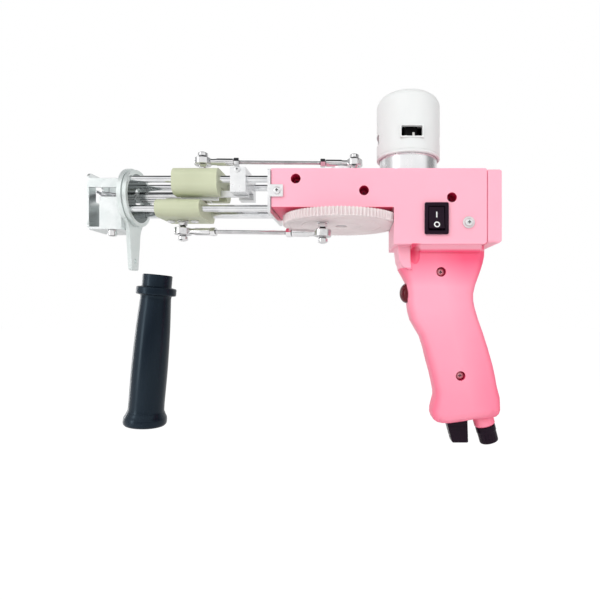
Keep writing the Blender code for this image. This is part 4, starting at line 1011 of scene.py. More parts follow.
@dataclass
class Controls:
    """The rocker switch, the trigger button, the speed knob and the sleeve of the lead."""

    bench: Bench
    switch: Triple = (-0.0087, -0.0295, 0.0943)
    tilt: float = math.radians(-7.0)
    rocker_half: Pair = (0.0064, 0.00925)
    rocker_face: float = 0.0034
    dish: float = 0.0008
    mark_on: float = 0.0027
    mark_off: float = -0.0058
    mark_depth: float = 0.00006
    bar_half: Pair = (0.00045, 0.0024)
    circle: Pair = (0.0025, 0.0016)
    trigger: Triple = (-0.0248, 0.0, 0.033)
    knob: Vector = field(default_factory=lambda: Vector((0.0403, 0.0, -0.0854)))
    grip_tilt: float = math.radians(-15.0)
    flutes: int = 18
    flute_ring: float = 0.00865
    sleeve: Triple = (0.0140, 0.0, -0.0806)
    sleeve_lean: float = math.radians(9.0)
    grooves: int = 4
    groove_first: float = 0.0045
    groove_step: float = 0.0034

    def build(self) -> None:
        """Build every control."""
        self.bench.lay(refined("switch_body", 0.0005, 3), "switch_body")
        self._rocker()
        self._marks()
        self._trigger()
        self._knob()
        self._sleeve()

    def _face(self, up: float) -> float:
        """How far the rocker's dished face is from its axis, at a height."""
        return -self.rocker_face + self.dish * (1 - (up / self.rocker_half[1]) ** 2)

    def _rocker(self) -> None:
        """The dished rocker."""
        half, end = self.rocker_half
        face = [(self._face(up), up) for up in (end * (step / 6 - 1.0) for step in range(13))]
        outline = [*face, (0.0, end), (0.0020, 0.0040), (0.0020, -0.0040), (0.0, -end)]
        cosine, sine = math.cos(self.tilt), math.sin(self.tilt)
        turned = [(self.switch[1] + y * cosine - z * sine, self.switch[2] + y * sine + z * cosine)
                  for y, z in outline]
        rocker = prism("rocker", [turned], self.switch[0] - half, self.switch[0] + half, Axis.X)
        self.bench.lay(settle(eased(rocker, 0.0004, 2)), "switch_rocker")

    def _marks(self) -> None:
        """The printed marks for on and off, laid on the rocker's curve."""
        white = Moulded("switch_print", (0.88, 0.88, 0.88), (0.80, 0.80, 0.80), 0.45).make()
        wide, tall = self.bar_half
        bar = rectangle(-wide, wide, self.mark_on - tall, self.mark_on + tall)
        rings = [ring((0.0, self.mark_off), radius, 40) for radius in self.circle]
        for name, middle, outlines in (("mark_on", self.mark_on, [bar]), ("mark_off", self.mark_off, rings)):
            mark = settle(prism(name, outlines, -self.mark_depth, self.mark_depth, Axis.Y))
            slope = math.atan2(2 * self.dish * middle, self.rocker_half[1] ** 2)
            for move in (Matrix.Translation((0.0, 0.0, -middle)), Matrix.Rotation(slope, 4, "X"),
                         Matrix.Translation((0.0, self._face(middle) - self.mark_depth / 2, middle)),
                         Matrix.Rotation(self.tilt, 4, "X"), Matrix.Translation(self.switch)):
                mark.data.transform(move)
            self.bench.lay(mark, "switch_rocker", slot=Slot.WHITE, look=white, stands_for=False)

    def _trigger(self) -> None:
        """The domed red button."""
        radius, dome, depth = 0.0088, 0.0062, self.trigger[0] + 0.0302
        profile = [(radius * math.sin(turn), depth + dome * math.cos(turn))
                   for turn in (QUARTER * step / 12 for step in range(13))]
        profile += [(radius, 0.0004), (radius - 0.0004, 0.0), (0.0, 0.0)]
        self.bench.turn("trigger_button", "trigger_dome", profile, self.trigger, Axis.MINUS_X, 64)

    def _knob(self) -> None:
        """The fluted speed knob with its pointer."""
        turn = Matrix.Rotation(self.grip_tilt, 3, "Y")
        profile = mm((0.0, 6.0), (3.0, 6.0), (3.0, -0.3), (8.5, -0.3), (8.8, -0.6), (8.8, -5.0), (8.4, -5.6),
                     (8.3, -13.8), (8.0, -14.8), (7.2, -15.4), (0.0, -15.5))
        knob = settle(lathe("knob", profile, self.knob, turn, 72))
        flute = mm((0.0, -6.0), (0.55, -6.0), (0.55, -17.0), (0.0, -17.0))
        spots = ring((0.0, 0.0), self.flute_ring, self.flutes)
        tools = [lathe("flute", flute, self.knob + turn @ Vector((*spot, 0.0)), turn, 8) for spot in spots]
        self.bench.lay(carve(knob, tools), "speed_knob")

    def _sleeve(self) -> None:
        """The ribbed sleeve where the lead goes in."""
        sleeve = refined("power_lead_sleeve", 0.0004)
        seat = Matrix.Translation(self.sleeve)
        lean = Matrix.Identity(4)
        lean[0][2] = -math.tan(self.sleeve_lean)
        sleeve.data.transform(seat @ lean @ Matrix.Rotation(-self.grip_tilt, 4, "Y") @ seat.inverted())
        tools = []
        for step in range(self.grooves):
            depth, half = -self.groove_first - self.groove_step * step, 0.0089 - 0.0005 * step
            tool = brick("sleeve_groove", (-0.012, -0.010, depth - 0.0005), (0.012, 0.010, depth + 0.0005))
            core = brick("sleeve_core", (-half, -0.0061, depth - 0.002), (half, 0.0061, depth + 0.002))
            carve(settle(tool), [settle(core)]).data.transform(seat @ lean)
            tools.append(tool)
        self.bench.lay(carve(sleeve, tools), "power_lead_sleeve")


@dataclass
class Motor:
    """The motor: its can, the windowed cap and the brush gear inside."""

    bench: Bench
    can_radius: float = 0.0255
    cap_radius: float = 0.0281
    cap_low: float = 0.1512
    cap_top: float = 0.2072
    shoulder: float = 0.0098
    wall: float = 0.0022
    window_half: Pair = (0.0088, 0.00435)
    window_z: float = 0.1683
    rim: float = 0.0012
    proud: float = 0.0006
    holder_half: float = 0.0055
    holder_share: float = 0.83

    def build(self) -> None:
        """Build the motor's pieces."""
        self._can()
        self._cap()
        self._brushes()
        self.bench.turn("motor_shaft", "rotor_shaft",
                        mm((0.0, 139.2), (2.1, 139.2), (2.5, 138.8), (2.5, 91.9), (2.1, 91.5), (0.0, 91.5)),
                        MOTOR_AXIS, Axis.Z, 32)
        self.bench.lay(refined("motor_pinion", 0.00012, 1), "motor_pinion")

    def _can(self) -> None:
        """The drawn steel can with a rolled rim and a pressed groove."""
        radius = self.can_radius
        profile = [(0.0, 0.1610), (radius - 0.0010, 0.1610), (radius, 0.1600), (radius, 0.1505),
                   (radius - 0.0003, 0.1502), (radius - 0.0003, 0.1497), (radius, 0.1494), (radius, 0.1308),
                   (0.0033, 0.1308), (0.0033, 0.1395), (0.0, 0.1395)]
        drawn = Metal("drawn_can", (0.94, 0.945, 0.95), (0.89, 0.90, 0.91), 0.28, (1.0, 1.0, 0.05), 700.0,
                      0.000002, 0.06).make()
        self.bench.turn("motor_can", "can", profile, MOTOR_AXIS, Axis.Z, 128, look=drawn)

    def _window(self, grown: float, radius: float, near: float, far: float, axis: Axis) -> Piece:
        """Make a prism over one window of the cap.

        Args:
            grown: How far it reaches past the window on every side.
            radius: The radius of its corners.
            near: Where it starts along the axis.
            far: Where it ends.
            axis: The direction that the window is looked through.

        Returns:
            The piece.
        """
        half, tall = self.window_half[0] + grown, self.window_half[1] + grown
        centre, low, high = MOTOR_X if axis is Axis.Y else 0.0, self.window_z - tall, self.window_z + tall
        outline = soft_box(centre - half, centre + half, low, high, radius, 4)
        return prism("window", [outline], near, far, axis)

    def _cap(self) -> None:
        """The white cap, with a framed window on each side."""
        outer, inner, reach = self.cap_radius, self.cap_radius - self.wall, self.cap_radius + 0.004
        middle = (outer - self.shoulder, self.cap_top - self.shoulder)
        over = sweep(middle, self.shoulder, QUARTER, 0.0, 14)
        under = sweep(middle, self.shoulder - self.wall, 0.0, QUARTER, 10)
        profile = [(0.0, self.cap_top), *over, (outer, self.cap_low + 0.0006), (outer - 0.0006, self.cap_low),
                   (inner, self.cap_low), *under, (0.0, self.cap_top - self.wall)]
        cap = settle(lathe("cap", profile, MOTOR_AXIS, Axis.Z, 128, start=math.pi / 128))
        sides = (-outer - self.proud, -inner - 0.0006), (inner + 0.0006, outer + self.proud)
        rims = [eased(self._window(self.rim, 0.0008, *side, Axis.Y), 0.0002) for side in sides]
        carve(cap, rims, "UNION")
        carve(cap, [self._window(0.0, 0.0006, -reach, reach, Axis.Y),
                    self._window(0.0, 0.0006, MOTOR_X - reach, MOTOR_X + reach, Axis.X)])
        line = rectangle(outer + 0.001, outer - 0.0003, 0.1541, 0.1537)
        groove = lathe("groove", line, MOTOR_AXIS, Axis.Z, 128, closed=True)
        self.bench.lay(carve(cap, [groove]), "motor_cap")

    def _brushes(self) -> None:
        """The brush plate with its holders, and the small notch that shows in the window."""
        inner = self.cap_radius - self.wall - SEAT_GAP
        profile = [(0.0, 0.1643), (inner - 0.0004, 0.1643), (inner, 0.1639), (inner, 0.1613), (0.0, 0.1613)]
        plate = settle(lathe("plate", profile, MOTOR_AXIS, Axis.Z, 96))
        reach, half = inner * self.holder_share, self.holder_half
        boxes = [soft_box(MOTOR_X - long, MOTOR_X + long, -wide, wide, 0.0008, 4)
                 for long, wide in ((reach, half), (half, reach))]
        holders = [eased(prism("holder", [box], 0.1630, 0.1795, Axis.Z), 0.0004) for box in boxes]
        dark = Moulded("brush_gear", (0.004, 0.004, 0.005), (0.012, 0.011, 0.011), 0.45, specular=0.15).make()
        self.bench.lay(carve(plate, holders, "UNION"), "motor_brush_plate", look=dark)
        tabs = [prism("tab", [rectangle(MOTOR_X + x - wide, MOTOR_X + x + wide, 0.1648, high)],
                      -inner * 0.90, -reach - 0.0002, Axis.Y)
                for x, wide, high in ((0.0020, 0.0009, 0.1690), (-0.0045, 0.0012, 0.1664))]
        brass = Metal("brush_tabs", (0.86, 0.86, 0.84), (0.60, 0.58, 0.54), 0.40, metallic=0.4).make()
        self.bench.lay(merged("brush_tabs", tabs), "motor_brush_plate", slot=Slot.BRONZE, look=brass,
                       stands_for=False)


@dataclass
class GearDrive:
    """The large moulded gear, its axle, the bearings and the crank arm on top."""

    bench: Bench
    teeth: int = 102
    module: float = 0.001
    pressure: float = math.radians(20.0)
    root_share: float = 1.25
    backlash: float = 0.0003
    flank_steps: int = 4
    bore: float = 0.0053
    bearings: tuple[tuple[str, float], ...] = (("lower_bearing", 0.104), ("upper_bearing", 0.1315))
    bearing_profile: tuple[Pair, ...] = (
        (0.0087, 0.005), (0.0090, 0.0047), (0.0090, 0.0003), (0.0087, 0.0),
        (0.0054, 0.0), (0.00515, 0.0003), (0.00515, 0.0047), (0.0054, 0.005))
    web: Pair = (0.043, 0.013)
    web_depth: float = 0.0014
    lines: Triple = (0.0475, 0.0360, 0.0180)
    line_width: float = 0.0009
    line_depth: float = 0.00035
    hub: float = 0.0095
    eye: float = 0.008
    arm_low: float = 0.139

    def build(self) -> None:
        """Build the gear train's pieces."""
        self._gear()
        self._axle()
        for node, low in self.bearings:
            profile = [(radius, low + height) for radius, height in self.bearing_profile]
            self.bench.turn(node, node + "_bush", profile, GEAR_AXIS, closed=True)
        self._arm()

    def _outline(self) -> Outline:
        """Trace the involute teeth.

        Returns:
            The outline of them all.
        """
        pitch = self.module * self.teeth / 2
        base, tip = pitch * math.cos(self.pressure), pitch + self.module
        root = pitch - self.root_share * self.module
        half_pitch = (math.pi * self.module / 2 - self.backlash) / (2 * pitch)
        flank = []
        for step in range(self.flank_steps):
            radius = root + (tip - root) * step / (self.flank_steps - 1)
            slope = math.acos(min(1.0, base / max(radius, base)))
            half = half_pitch + math.tan(self.pressure) - self.pressure - math.tan(slope) + slope
            flank.append((radius, half))
        tooth = [(radius, -half) for radius, half in flank] + flank[::-1]
        centres = (2 * math.pi * number / self.teeth for number in range(self.teeth))
        return [(GEAR_X + radius * math.cos(centre + half), radius * math.sin(centre + half))
                for centre in centres for radius, half in tooth]

    def _gear(self) -> None:
        """The gear with its web and the turned rings on its underside."""
        outlines = [self._outline(), ring((GEAR_X, 0.0), self.bore, 48)]
        gear = settle(prism("gear", outlines, GEAR_LOW, GEAR_HIGH, Axis.Z))
        spare = 0.002
        rings = [(*self.web, GEAR_HIGH - self.web_depth, GEAR_HIGH + spare)]
        rings += [(outer, outer - self.line_width, GEAR_LOW - spare, GEAR_LOW + self.line_depth)
                  for outer in self.lines]
        tools = [lathe("ring_tool", rectangle(outer, inner, high, low), GEAR_AXIS, Axis.Z, 96, closed=True)
                 for outer, inner, low, high in rings]
        self.bench.lay(carve(gear, tools), "drive_gear")

    def _axle(self) -> None:
        """The axle with its collars and the slot in its lower end."""
        profile = mm((0.0, 143.5), (4.5, 143.5), (5.0, 143.0), (5.0, 138.7), (7.2, 138.7), (7.5, 138.4),
                     (7.5, 136.8), (5.0, 136.8), (5.0, 103.7), (7.5, 103.7), (7.5, 100.5), (5.0, 100.5),
                     (5.0, 94.2), (4.6, 93.8), (0.0, 93.8))
        axle = settle(lathe("axle", profile, GEAR_AXIS))
        slit = brick("axle_slot", (GEAR_X - 0.0062, -0.0006, 0.092), (GEAR_X + 0.0062, 0.0006, 0.0953))
        self.bench.lay(carve(axle, [slit]), "gear_shaft")

    def _arm(self) -> None:
        """The crank arm with its hub and its eye."""
        away = (GEAR_X + UPPER_THROW * math.cos(CRANK_ANGLE), UPPER_THROW * math.sin(CRANK_ANGLE))
        outline = (sweep(away, self.eye, CRANK_ANGLE - QUARTER, CRANK_ANGLE + QUARTER, 24)
                   + sweep((GEAR_X, 0.0), self.hub, CRANK_ANGLE + QUARTER, CRANK_ANGLE + 3 * QUARTER, 28))
        arm = prism("arm", [outline, ring((GEAR_X, 0.0), self.bore, 32)], self.arm_low, ARM_TOP, Axis.Z)
        self.bench.lay(settle(eased(arm, 0.0004, 2)), "crank_arm")


@dataclass
class FrontFrame:
    """The plate, the four guide rods, the brackets and the flange at the front."""

    bench: Bench
    rods: tuple[Pair, ...] = (
        (-ROD_Y, UPPER_ROD_Z), (ROD_Y, UPPER_ROD_Z), (-ROD_Y, LOWER_ROD_Z), (ROD_Y, LOWER_ROD_Z))
    rod_ends: Pair = (-0.2733, -0.1474)
    flange: Pair = (-0.2739, -0.2704)
    bracket: Pair = (-0.2777, -0.2742)
    flange_radius: float = 0.0249
    flange_bore: float = 0.009
    rod_hole: float = 0.0033
    push_rod_hole: float = 0.0021
    plate_screw: Triple = (-0.1412, 0.0322, 0.1174)
    bracket_screw: Triple = (-0.1772, -0.0203, 0.1386)
    ring_radius: float = 0.0261
    ring_bore: float = 0.0196
    leg_half: float = 0.0098
    leg_low: float = 0.0535
    toe_half: float = 0.0062
    toe_radius: float = 0.0031
    leg_hole_z: float = 0.062
    leg_hole_radius: float = 0.0022

    def build(self) -> None:
        """Build the front frame's pieces."""
        for node, width in (("front_plate", 0.0003), ("mid_bracket", 0.0004), ("guide_plate", 0.0003)):
            self.bench.lay(refined(node, width), node)
        self._rods()
        self._flange()
        self._bracket()
        head = CrossScrew(0.003, 0.0018, 0.0015, 0.0095)
        for node, side, axis in (("plate_screw_left", -1, Axis.Y), ("plate_screw_right", 1, Axis.MINUS_Y)):
            seat = (self.plate_screw[0], side * self.plate_screw[1], self.plate_screw[2])
            self.bench.lay(head.build(node + "_cross", seat, axis), node)
        head = CrossScrew(0.0026, 0.0012, 0.0014, 0.0047)
        self.bench.lay(head.build("bracket_cross", self.bracket_screw, Axis.Y), "bracket_screw")

    def _rods(self) -> None:
        """The ground guide rods, with a chamfer and a drilled centre at each end."""
        low, high = self.rod_ends
        length = high - low
        ground = Metal("ground_rod", (0.90, 0.91, 0.92), (0.76, 0.77, 0.79), 0.09, (0.03, 1.0, 1.0), 1100.0)
        look = ground.make()
        profile = [(0.0, length - 0.0010), (0.0009, length), (0.0026, length), (0.0030, length - 0.0004),
                   (0.0030, 0.0004), (0.0026, 0.0), (0.0009, 0.0), (0.0, 0.0010)]
        for number, place in enumerate(self.rods, 1):
            self.bench.turn(f"guide_rod_{number}", f"rod_{number}", profile, (low, *place), Axis.X, look=look)

    def _flange(self) -> None:
        """The turned flange with its bore and holes."""
        centre = (0.0, FLANGE_Z)
        holes = [ring(centre, self.flange_bore, 64), ring(PUSH_ROD, self.push_rod_hole, 24)]
        holes += [ring(point, self.rod_hole, 32) for point in self.rods]
        body = prism("flange", [ring(centre, self.flange_radius, 128), *holes], *self.flange, Axis.X)
        turned = Machined("polished_flange", (0.78, 0.83, 0.82), (0.68, 0.74, 0.725), 0.32, ("Y", "Z"),
                          centre, 0.0007, 0.000008, 0.55, dark_reflection_radius=0.0212)
        self.bench.lay(settle(eased(body, 0.0005, 2)), "front_flange", look=turned.make())

    def _bracket(self) -> None:
        """The ring with the leg that the side grip goes on."""
        centre, radius, half, corner = (0.0, FLANGE_Z), self.ring_radius, self.leg_half, self.toe_radius
        open_half = QUARTER - math.asin(half / radius) - 0.22
        over = sweep(centre, radius, -open_half, 2 * QUARTER + open_half, 96)
        neck, toe = FLANGE_Z - radius - 0.004, self.leg_low + corner
        leg = [(-half - 0.0006, neck + 0.0012), (-half, neck - 0.0012),
               *sweep((corner - self.toe_half, toe), corner, 2 * QUARTER, 3 * QUARTER, 8),
               *sweep((self.toe_half - corner, toe), corner, -QUARTER, 0.0, 8),
               (half, neck - 0.0012), (half + 0.0006, neck + 0.0012)]
        holes = [ring(centre, self.ring_bore, 96), ring((0.0, self.leg_hole_z), self.leg_hole_radius, 32)]
        body = prism("bracket", [over + leg, *holes], *self.bracket, Axis.X)
        self.bench.lay(settle(eased(body, 0.0007, 3)), "grip_bracket")


@dataclass
class BallJoint:
    """A ball stud, and the rod end that turns on its ball."""

    ball: float = 0.0049
    half_height: float = 0.004
    eye: float = 0.0075
    eye_half: float = 0.003
    eye_soft: float = 0.0005
    clearance: float = 0.0003
    reach: float = 0.027

    def stud(self, name: str, centre: Vector, drop: float, up: bool, depth: float) -> Piece:
        """Build a stud: collar, hexagon, ball and end nut.

        Args:
            name: Its name.
            centre: The middle of its ball.
            drop: How far its seat is from that middle.
            up: True where it stands up from its seat.
            depth: How far its thread goes in.

        Returns:
            The stud.
        """
        side = math.asin(self.half_height / self.ball)
        ball = [(self.ball * math.cos(turn), self.ball * math.sin(turn))
                for turn in (side * (1 - 2 * step / 8) for step in range(9))]
        low, high, seat = self.half_height + 0.0006, self.half_height + 0.0048, -drop
        profile = [(0.0, high), (0.0018, high), (0.0028, high - 0.0003), (0.0040, high - 0.0009),
                   (0.0044, high - 0.0014), (0.0044, low + 0.0004), (0.0040, low), (ball[0][0], low), *ball,
                   (0.0024, seat + 0.0044), (0.0024, seat + 0.0010), (0.0047, seat + 0.0010),
                   (0.0050, seat + 0.0007), (0.0050, seat)]
        profile += [(0.0024, seat), (0.0024, seat - depth), (0.0, seat - depth)] if depth else [(0.0, seat)]
        body = settle(lathe(name, profile, centre, Axis.Z if up else Axis.MINUS_Z, 40))
        hexagon = self.hexagon(name + "_flats", 0.0034, 0.0040)
        turn = Matrix.Translation(centre) @ Matrix.Rotation(0.0 if up else math.pi, 4, "X")
        hexagon.data.transform(turn @ Matrix.Translation((0.0, 0.0, seat + 0.0009)))
        return carve(body, [hexagon], "UNION")

    @staticmethod
    def hexagon(name: str, height: float, radius: float) -> Piece:
        """A hexagon from height 0 up, with both faces chamfered.

        Args:
            name: Its name.
            height: Its height.
            radius: Its radius to the corners.

        Returns:
            The hexagon, with its place in its mesh.
        """
        body = settle(prism(name, [ring((0.0, 0.0), radius, 6)], 0.0, height, Axis.Z))
        slope, spare = radius * 0.12, 0.0001
        cone = lathe(name + "_cone", [(0.0, height + spare), (radius - slope, height + spare),
                                      (radius + spare, height - slope), (radius + spare, slope),
                                      (radius - slope, -spare), (0.0, -spare)], ORIGIN, Axis.Z, 36)
        return carve(body, [cone], "INTERSECT")

    def rod_end(self, name: str, centre: Vector, way: Vector) -> Piece:
        """Build a rod end: the eye round the ball and its round and hexagonal shank.

        Args:
            name: Its name.
            centre: The middle of the ball.
            way: The direction of its shank.

        Returns:
            The rod end.
        """
        across = UP.cross(way).normalized()
        upright = way.cross(across).normalized()
        bore, soft = self.ball + self.clearance, self.eye_soft
        inner = [(math.sqrt(bore ** 2 - height ** 2), height)
                 for height in (self.eye_half * (step / 3 - 1.0) for step in range(7))]
        profile = [(self.eye - soft, self.eye_half), (self.eye, self.eye_half - soft),
                   (self.eye, soft - self.eye_half), (self.eye - soft, -self.eye_half), *inner]
        turn = Matrix((way, across, upright)).transposed()
        eye = settle(lathe(name, profile, centre, turn, closed=True))
        high = self.reach
        profile = [(0.0, high - 0.009), (0.0022, high - 0.009), (0.0022, high), (0.0028, high),
                   (0.0033, high - 0.0005), (0.0033, 0.0125), (0.0029, 0.0118), (0.0027, 0.0090),
                   (0.0030, 0.0058), (0.0, 0.0058)]
        return carve(eye, [lathe(name + "_shank", profile, centre, frame_along(way), 40)], "UNION")


@dataclass
class ThreadedRod:
    """A threaded bar with a lock nut near each end."""

    root: float = 0.00158
    crest: float = 0.00190
    pitch: float = 0.0007
    facets: int = 14
    rows_each_turn: int = 5
    nut_radius: float = 0.0040
    nut_height: float = 0.0045

    def build(self, name: str, front: Vector, rear: Vector, start: float, reach: float) -> Piece:
        """Build the bar and its nuts.

        Args:
            name: The bar's name.
            front: One ball's middle.
            rear: The other ball's middle.
            start: How far from each ball the bar begins.
            reach: How far from each ball the rod end stops.

        Returns:
            The bar with its nuts.
        """
        run = rear - front
        parts = [self._bar(name, start, run.length - start)]
        for place in (reach + SEAT_GAP, run.length - reach - SEAT_GAP - self.nut_height):
            parts.append(BallJoint.hexagon(name + "_nut", self.nut_height, self.nut_radius))
            parts[-1].data.transform(Matrix.Translation((0.0, 0.0, place)))
        whole = merged(name, parts)
        whole.data.transform(Matrix.Translation(front) @ frame_along(run.normalized()).to_4x4())
        return whole

    def _bar(self, name: str, low: float, high: float) -> Piece:
        """The bar along Z, with its ridges wound round it.

        Args:
            name: Its name.
            low: Where it begins.
            high: Where it ends.

        Returns:
            The bar.
        """
        rows = int((high - low) / self.pitch * self.rows_each_turn)
        bar = linked(name, bpy.data.meshes.new(name))
        with editing(bar.data) as work:
            grid = []
            for height in (low + (high - low) * row / rows for row in range(rows + 1)):
                grid.append([])
                for facet in range(self.facets):
                    share = facet / self.facets
                    phase = (height / self.pitch - share) % 1.0
                    radius = self.root + (self.crest - self.root) * (1.0 - abs(2 * phase - 1.0))
                    angle = 2 * math.pi * share
                    corner = (radius * math.cos(angle), radius * math.sin(angle), height)
                    grid[-1].append(work.verts.new(corner))
            for lower, upper in zip(grid, grid[1:]):
                for facet in range(self.facets):
                    after = (facet + 1) % self.facets
                    work.faces.new((lower[facet], lower[after], upper[after], upper[facet]))
            work.faces.new(grid[0][::-1])
            work.faces.new(grid[-1])
        return bar


@dataclass
class Drive:
    """The two sliders and the tie rods that push them, the needle and the cutter's push rod."""

    bench: Bench
    joint: BallJoint = field(default_factory=BallJoint)
    bar: ThreadedRod = field(default_factory=ThreadedRod)
    upper_box: tuple[float, ...] = (-0.0227, 0.0227, 0.1174, 0.1409, 0.008)
    upper_ends: Pair = (-0.2330, -0.1944)
    lower_box: tuple[float, ...] = (-0.0222, 0.0222, 0.0985, 0.1137, 0.0066)
    lower_ends: Pair = (-0.2477, -0.2096)
    rod_bore: float = 0.00315
    clamp_screws: Pair = (-0.2418, -0.2208)
    clamp_seat: float = 0.0982
    push_rod_front: float = -0.2570
    bar_front: float = -0.2765
    grub_x: float = -0.2722
    needle_path: tuple[Triple, ...] = (
        (-0.2675, 0.1190, 1.0), (-0.2800, 0.1190, 1.0), (-0.2950, 0.1217, 0.9), (-0.3080, 0.1241, 0.6),
        (-0.3197, 0.1263, 0.06))

    def build(self) -> None:
        """Build the sliders, their studs, the tie rods and the needle bar."""
        self._upper_slider()
        self._lower_slider()
        for prefix, front, rear in (("lower_tie", LOWER_BALL_FRONT, LOWER_BALL_REAR),
                                    ("upper_tie", UPPER_BALL_FRONT, UPPER_BALL_REAR)):
            way = (rear - front).normalized()
            self.bench.lay(self.joint.rod_end(prefix + "_eye_front", front, way), prefix + "_rod_end_front")
            self.bench.lay(self.joint.rod_end(prefix + "_eye_rear", rear, -way), prefix + "_rod_end_rear")
            bar = self.bar.build(prefix + "_bar", front, rear, self.joint.reach - 0.008, self.joint.reach)
            self.bench.lay(bar, prefix + "_rod")
        for node, centre, drop, up, depth in (
                ("lower_crank_stud", LOWER_BALL_REAR, 0.0093, False, 0.0),
                ("upper_crank_stud", UPPER_BALL_REAR, 0.0098, True, 0.0),
                ("lower_slider_stud", LOWER_BALL_FRONT, 0.00955, False, 0.006),
                ("upper_slider_stud", UPPER_BALL_FRONT, 0.0100, True, 0.006)):
            self.bench.lay(self.joint.stud(node + "_ball", centre, drop, up, depth), node)
        head = CrossScrew(0.0034, 0.0020, 0.0016, 0.015)
        for node, across in zip(("clamp_screw_front", "clamp_screw_rear"), self.clamp_screws):
            self.bench.lay(head.build(node + "_cross", (across, 0.0, self.clamp_seat), Axis.Z), node)
        self._needle_bar()
        self._needle()
        self.bench.turn("scissor_push_rod", "push_rod",
                        mm((0.0, 30.0), (1.2, 30.0), (1.5, 29.7), (1.5, 0.3), (1.2, 0.0), (0.0, 0.0)),
                        (self.push_rod_front, *PUSH_ROD), Axis.X, 24)

    def _slider(self, name: str, box: Sequence[float], ends: Pair, rod_z: float) -> Piece:
        """One moulded block with the bores of its two rods."""
        bores = [ring((side, rod_z), self.rod_bore, 40) for side in (-ROD_Y, ROD_Y)]
        return settle(eased(prism(name, [soft_box(*box, 14), *bores], *ends, Axis.X), 0.0006, 3))

    @staticmethod
    def _drill(radius: float, low: float, high: float, place: Triple, axis: Axis = Axis.Z) -> Piece:
        """A round tool from low to high along an axis."""
        return lathe("drill", [(0.0, high), (radius, high), (radius, low), (0.0, low)], place, axis, 24)

    def _upper_slider(self) -> None:
        """The upper slider, with its tunnel for the needle bar."""
        body = self._slider("upper_slider_block", self.upper_box, self.upper_ends, UPPER_ROD_Z)
        tools = [brick("tunnel", (-0.235, -0.009, 0.115), (-0.192, 0.009, 0.1256)),
                 self._drill(0.0018, -0.002, 0.0083, (self.upper_ends[0], *PUSH_ROD), Axis.X),
                 self._drill(0.0027, -0.0063, 0.003, (UPPER_BALL_FRONT.x, 0.0, self.upper_box[3]))]
        self.bench.lay(carve(body, tools), "upper_slider")

    def _lower_slider(self) -> None:
        """The lower slider, with the ways of its clamp screws."""
        body = self._slider("lower_slider_block", self.lower_box, self.lower_ends, LOWER_ROD_Z)
        low = self.lower_box[2]
        tools = [self._drill(0.0019, -0.002, 0.017, (across, 0.0, low)) for across in self.clamp_screws]
        tools.append(self._drill(0.0027, -0.002, 0.0063, (LOWER_BALL_FRONT.x, 0.0, low)))
        self.bench.lay(carve(body, tools), "lower_slider")

    def _needle_bar(self) -> None:
        """The needle bar with the hole for its grub screw."""
        profile = mm((0.0, 71.5), (4.4, 71.5), (5.0, 70.9), (5.0, 0.8), (4.2, 0.0), (2.4, 0.0), (2.4, 10.0),
                     (0.0, 10.0))
        bar = settle(lathe("bar", profile, (self.bar_front, 0.0, NEEDLE_Z), Axis.X, 64))
        grub = self._drill(0.0013, 0.0028, 0.010, (self.grub_x, 0.0, NEEDLE_Z), Axis.MINUS_Y)
        self.bench.lay(carve(bar, [grub]), "needle_bar")

    def _needle(self) -> None:
        """The bent hollow needle, with its eye and its slit."""
        data = bpy.data.curves.new("needle_path", "CURVE")
        data.dimensions, data.bevel_depth, data.bevel_resolution, data.use_fill_caps = "3D", 0.0021, 6, True
        path = [(across, 0.0, up, share) for across, up, share in self.needle_path]
        needle = settle(linked("hollow_needle", mesh_of_curve(data, [path])))
        eye = prism("eye", [soft_box(-0.3085, -0.3035, 0.1222, 0.1250, 0.0010, 5)], -0.004, 0.004, Axis.Y)
        slit = prism("slit", [soft_box(-0.2960, -0.2860, 0.1196, 0.1206, 0.0004, 4)], -0.004, 0.0, Axis.Y)
        polished = Metal("polished_needle", (0.80, 0.80, 0.82), (0.66, 0.67, 0.69), 0.16, (0.1, 1.0, 1.0))
        self.bench.lay(carve(needle, [eye, slit]), "needle", look=polished.make())


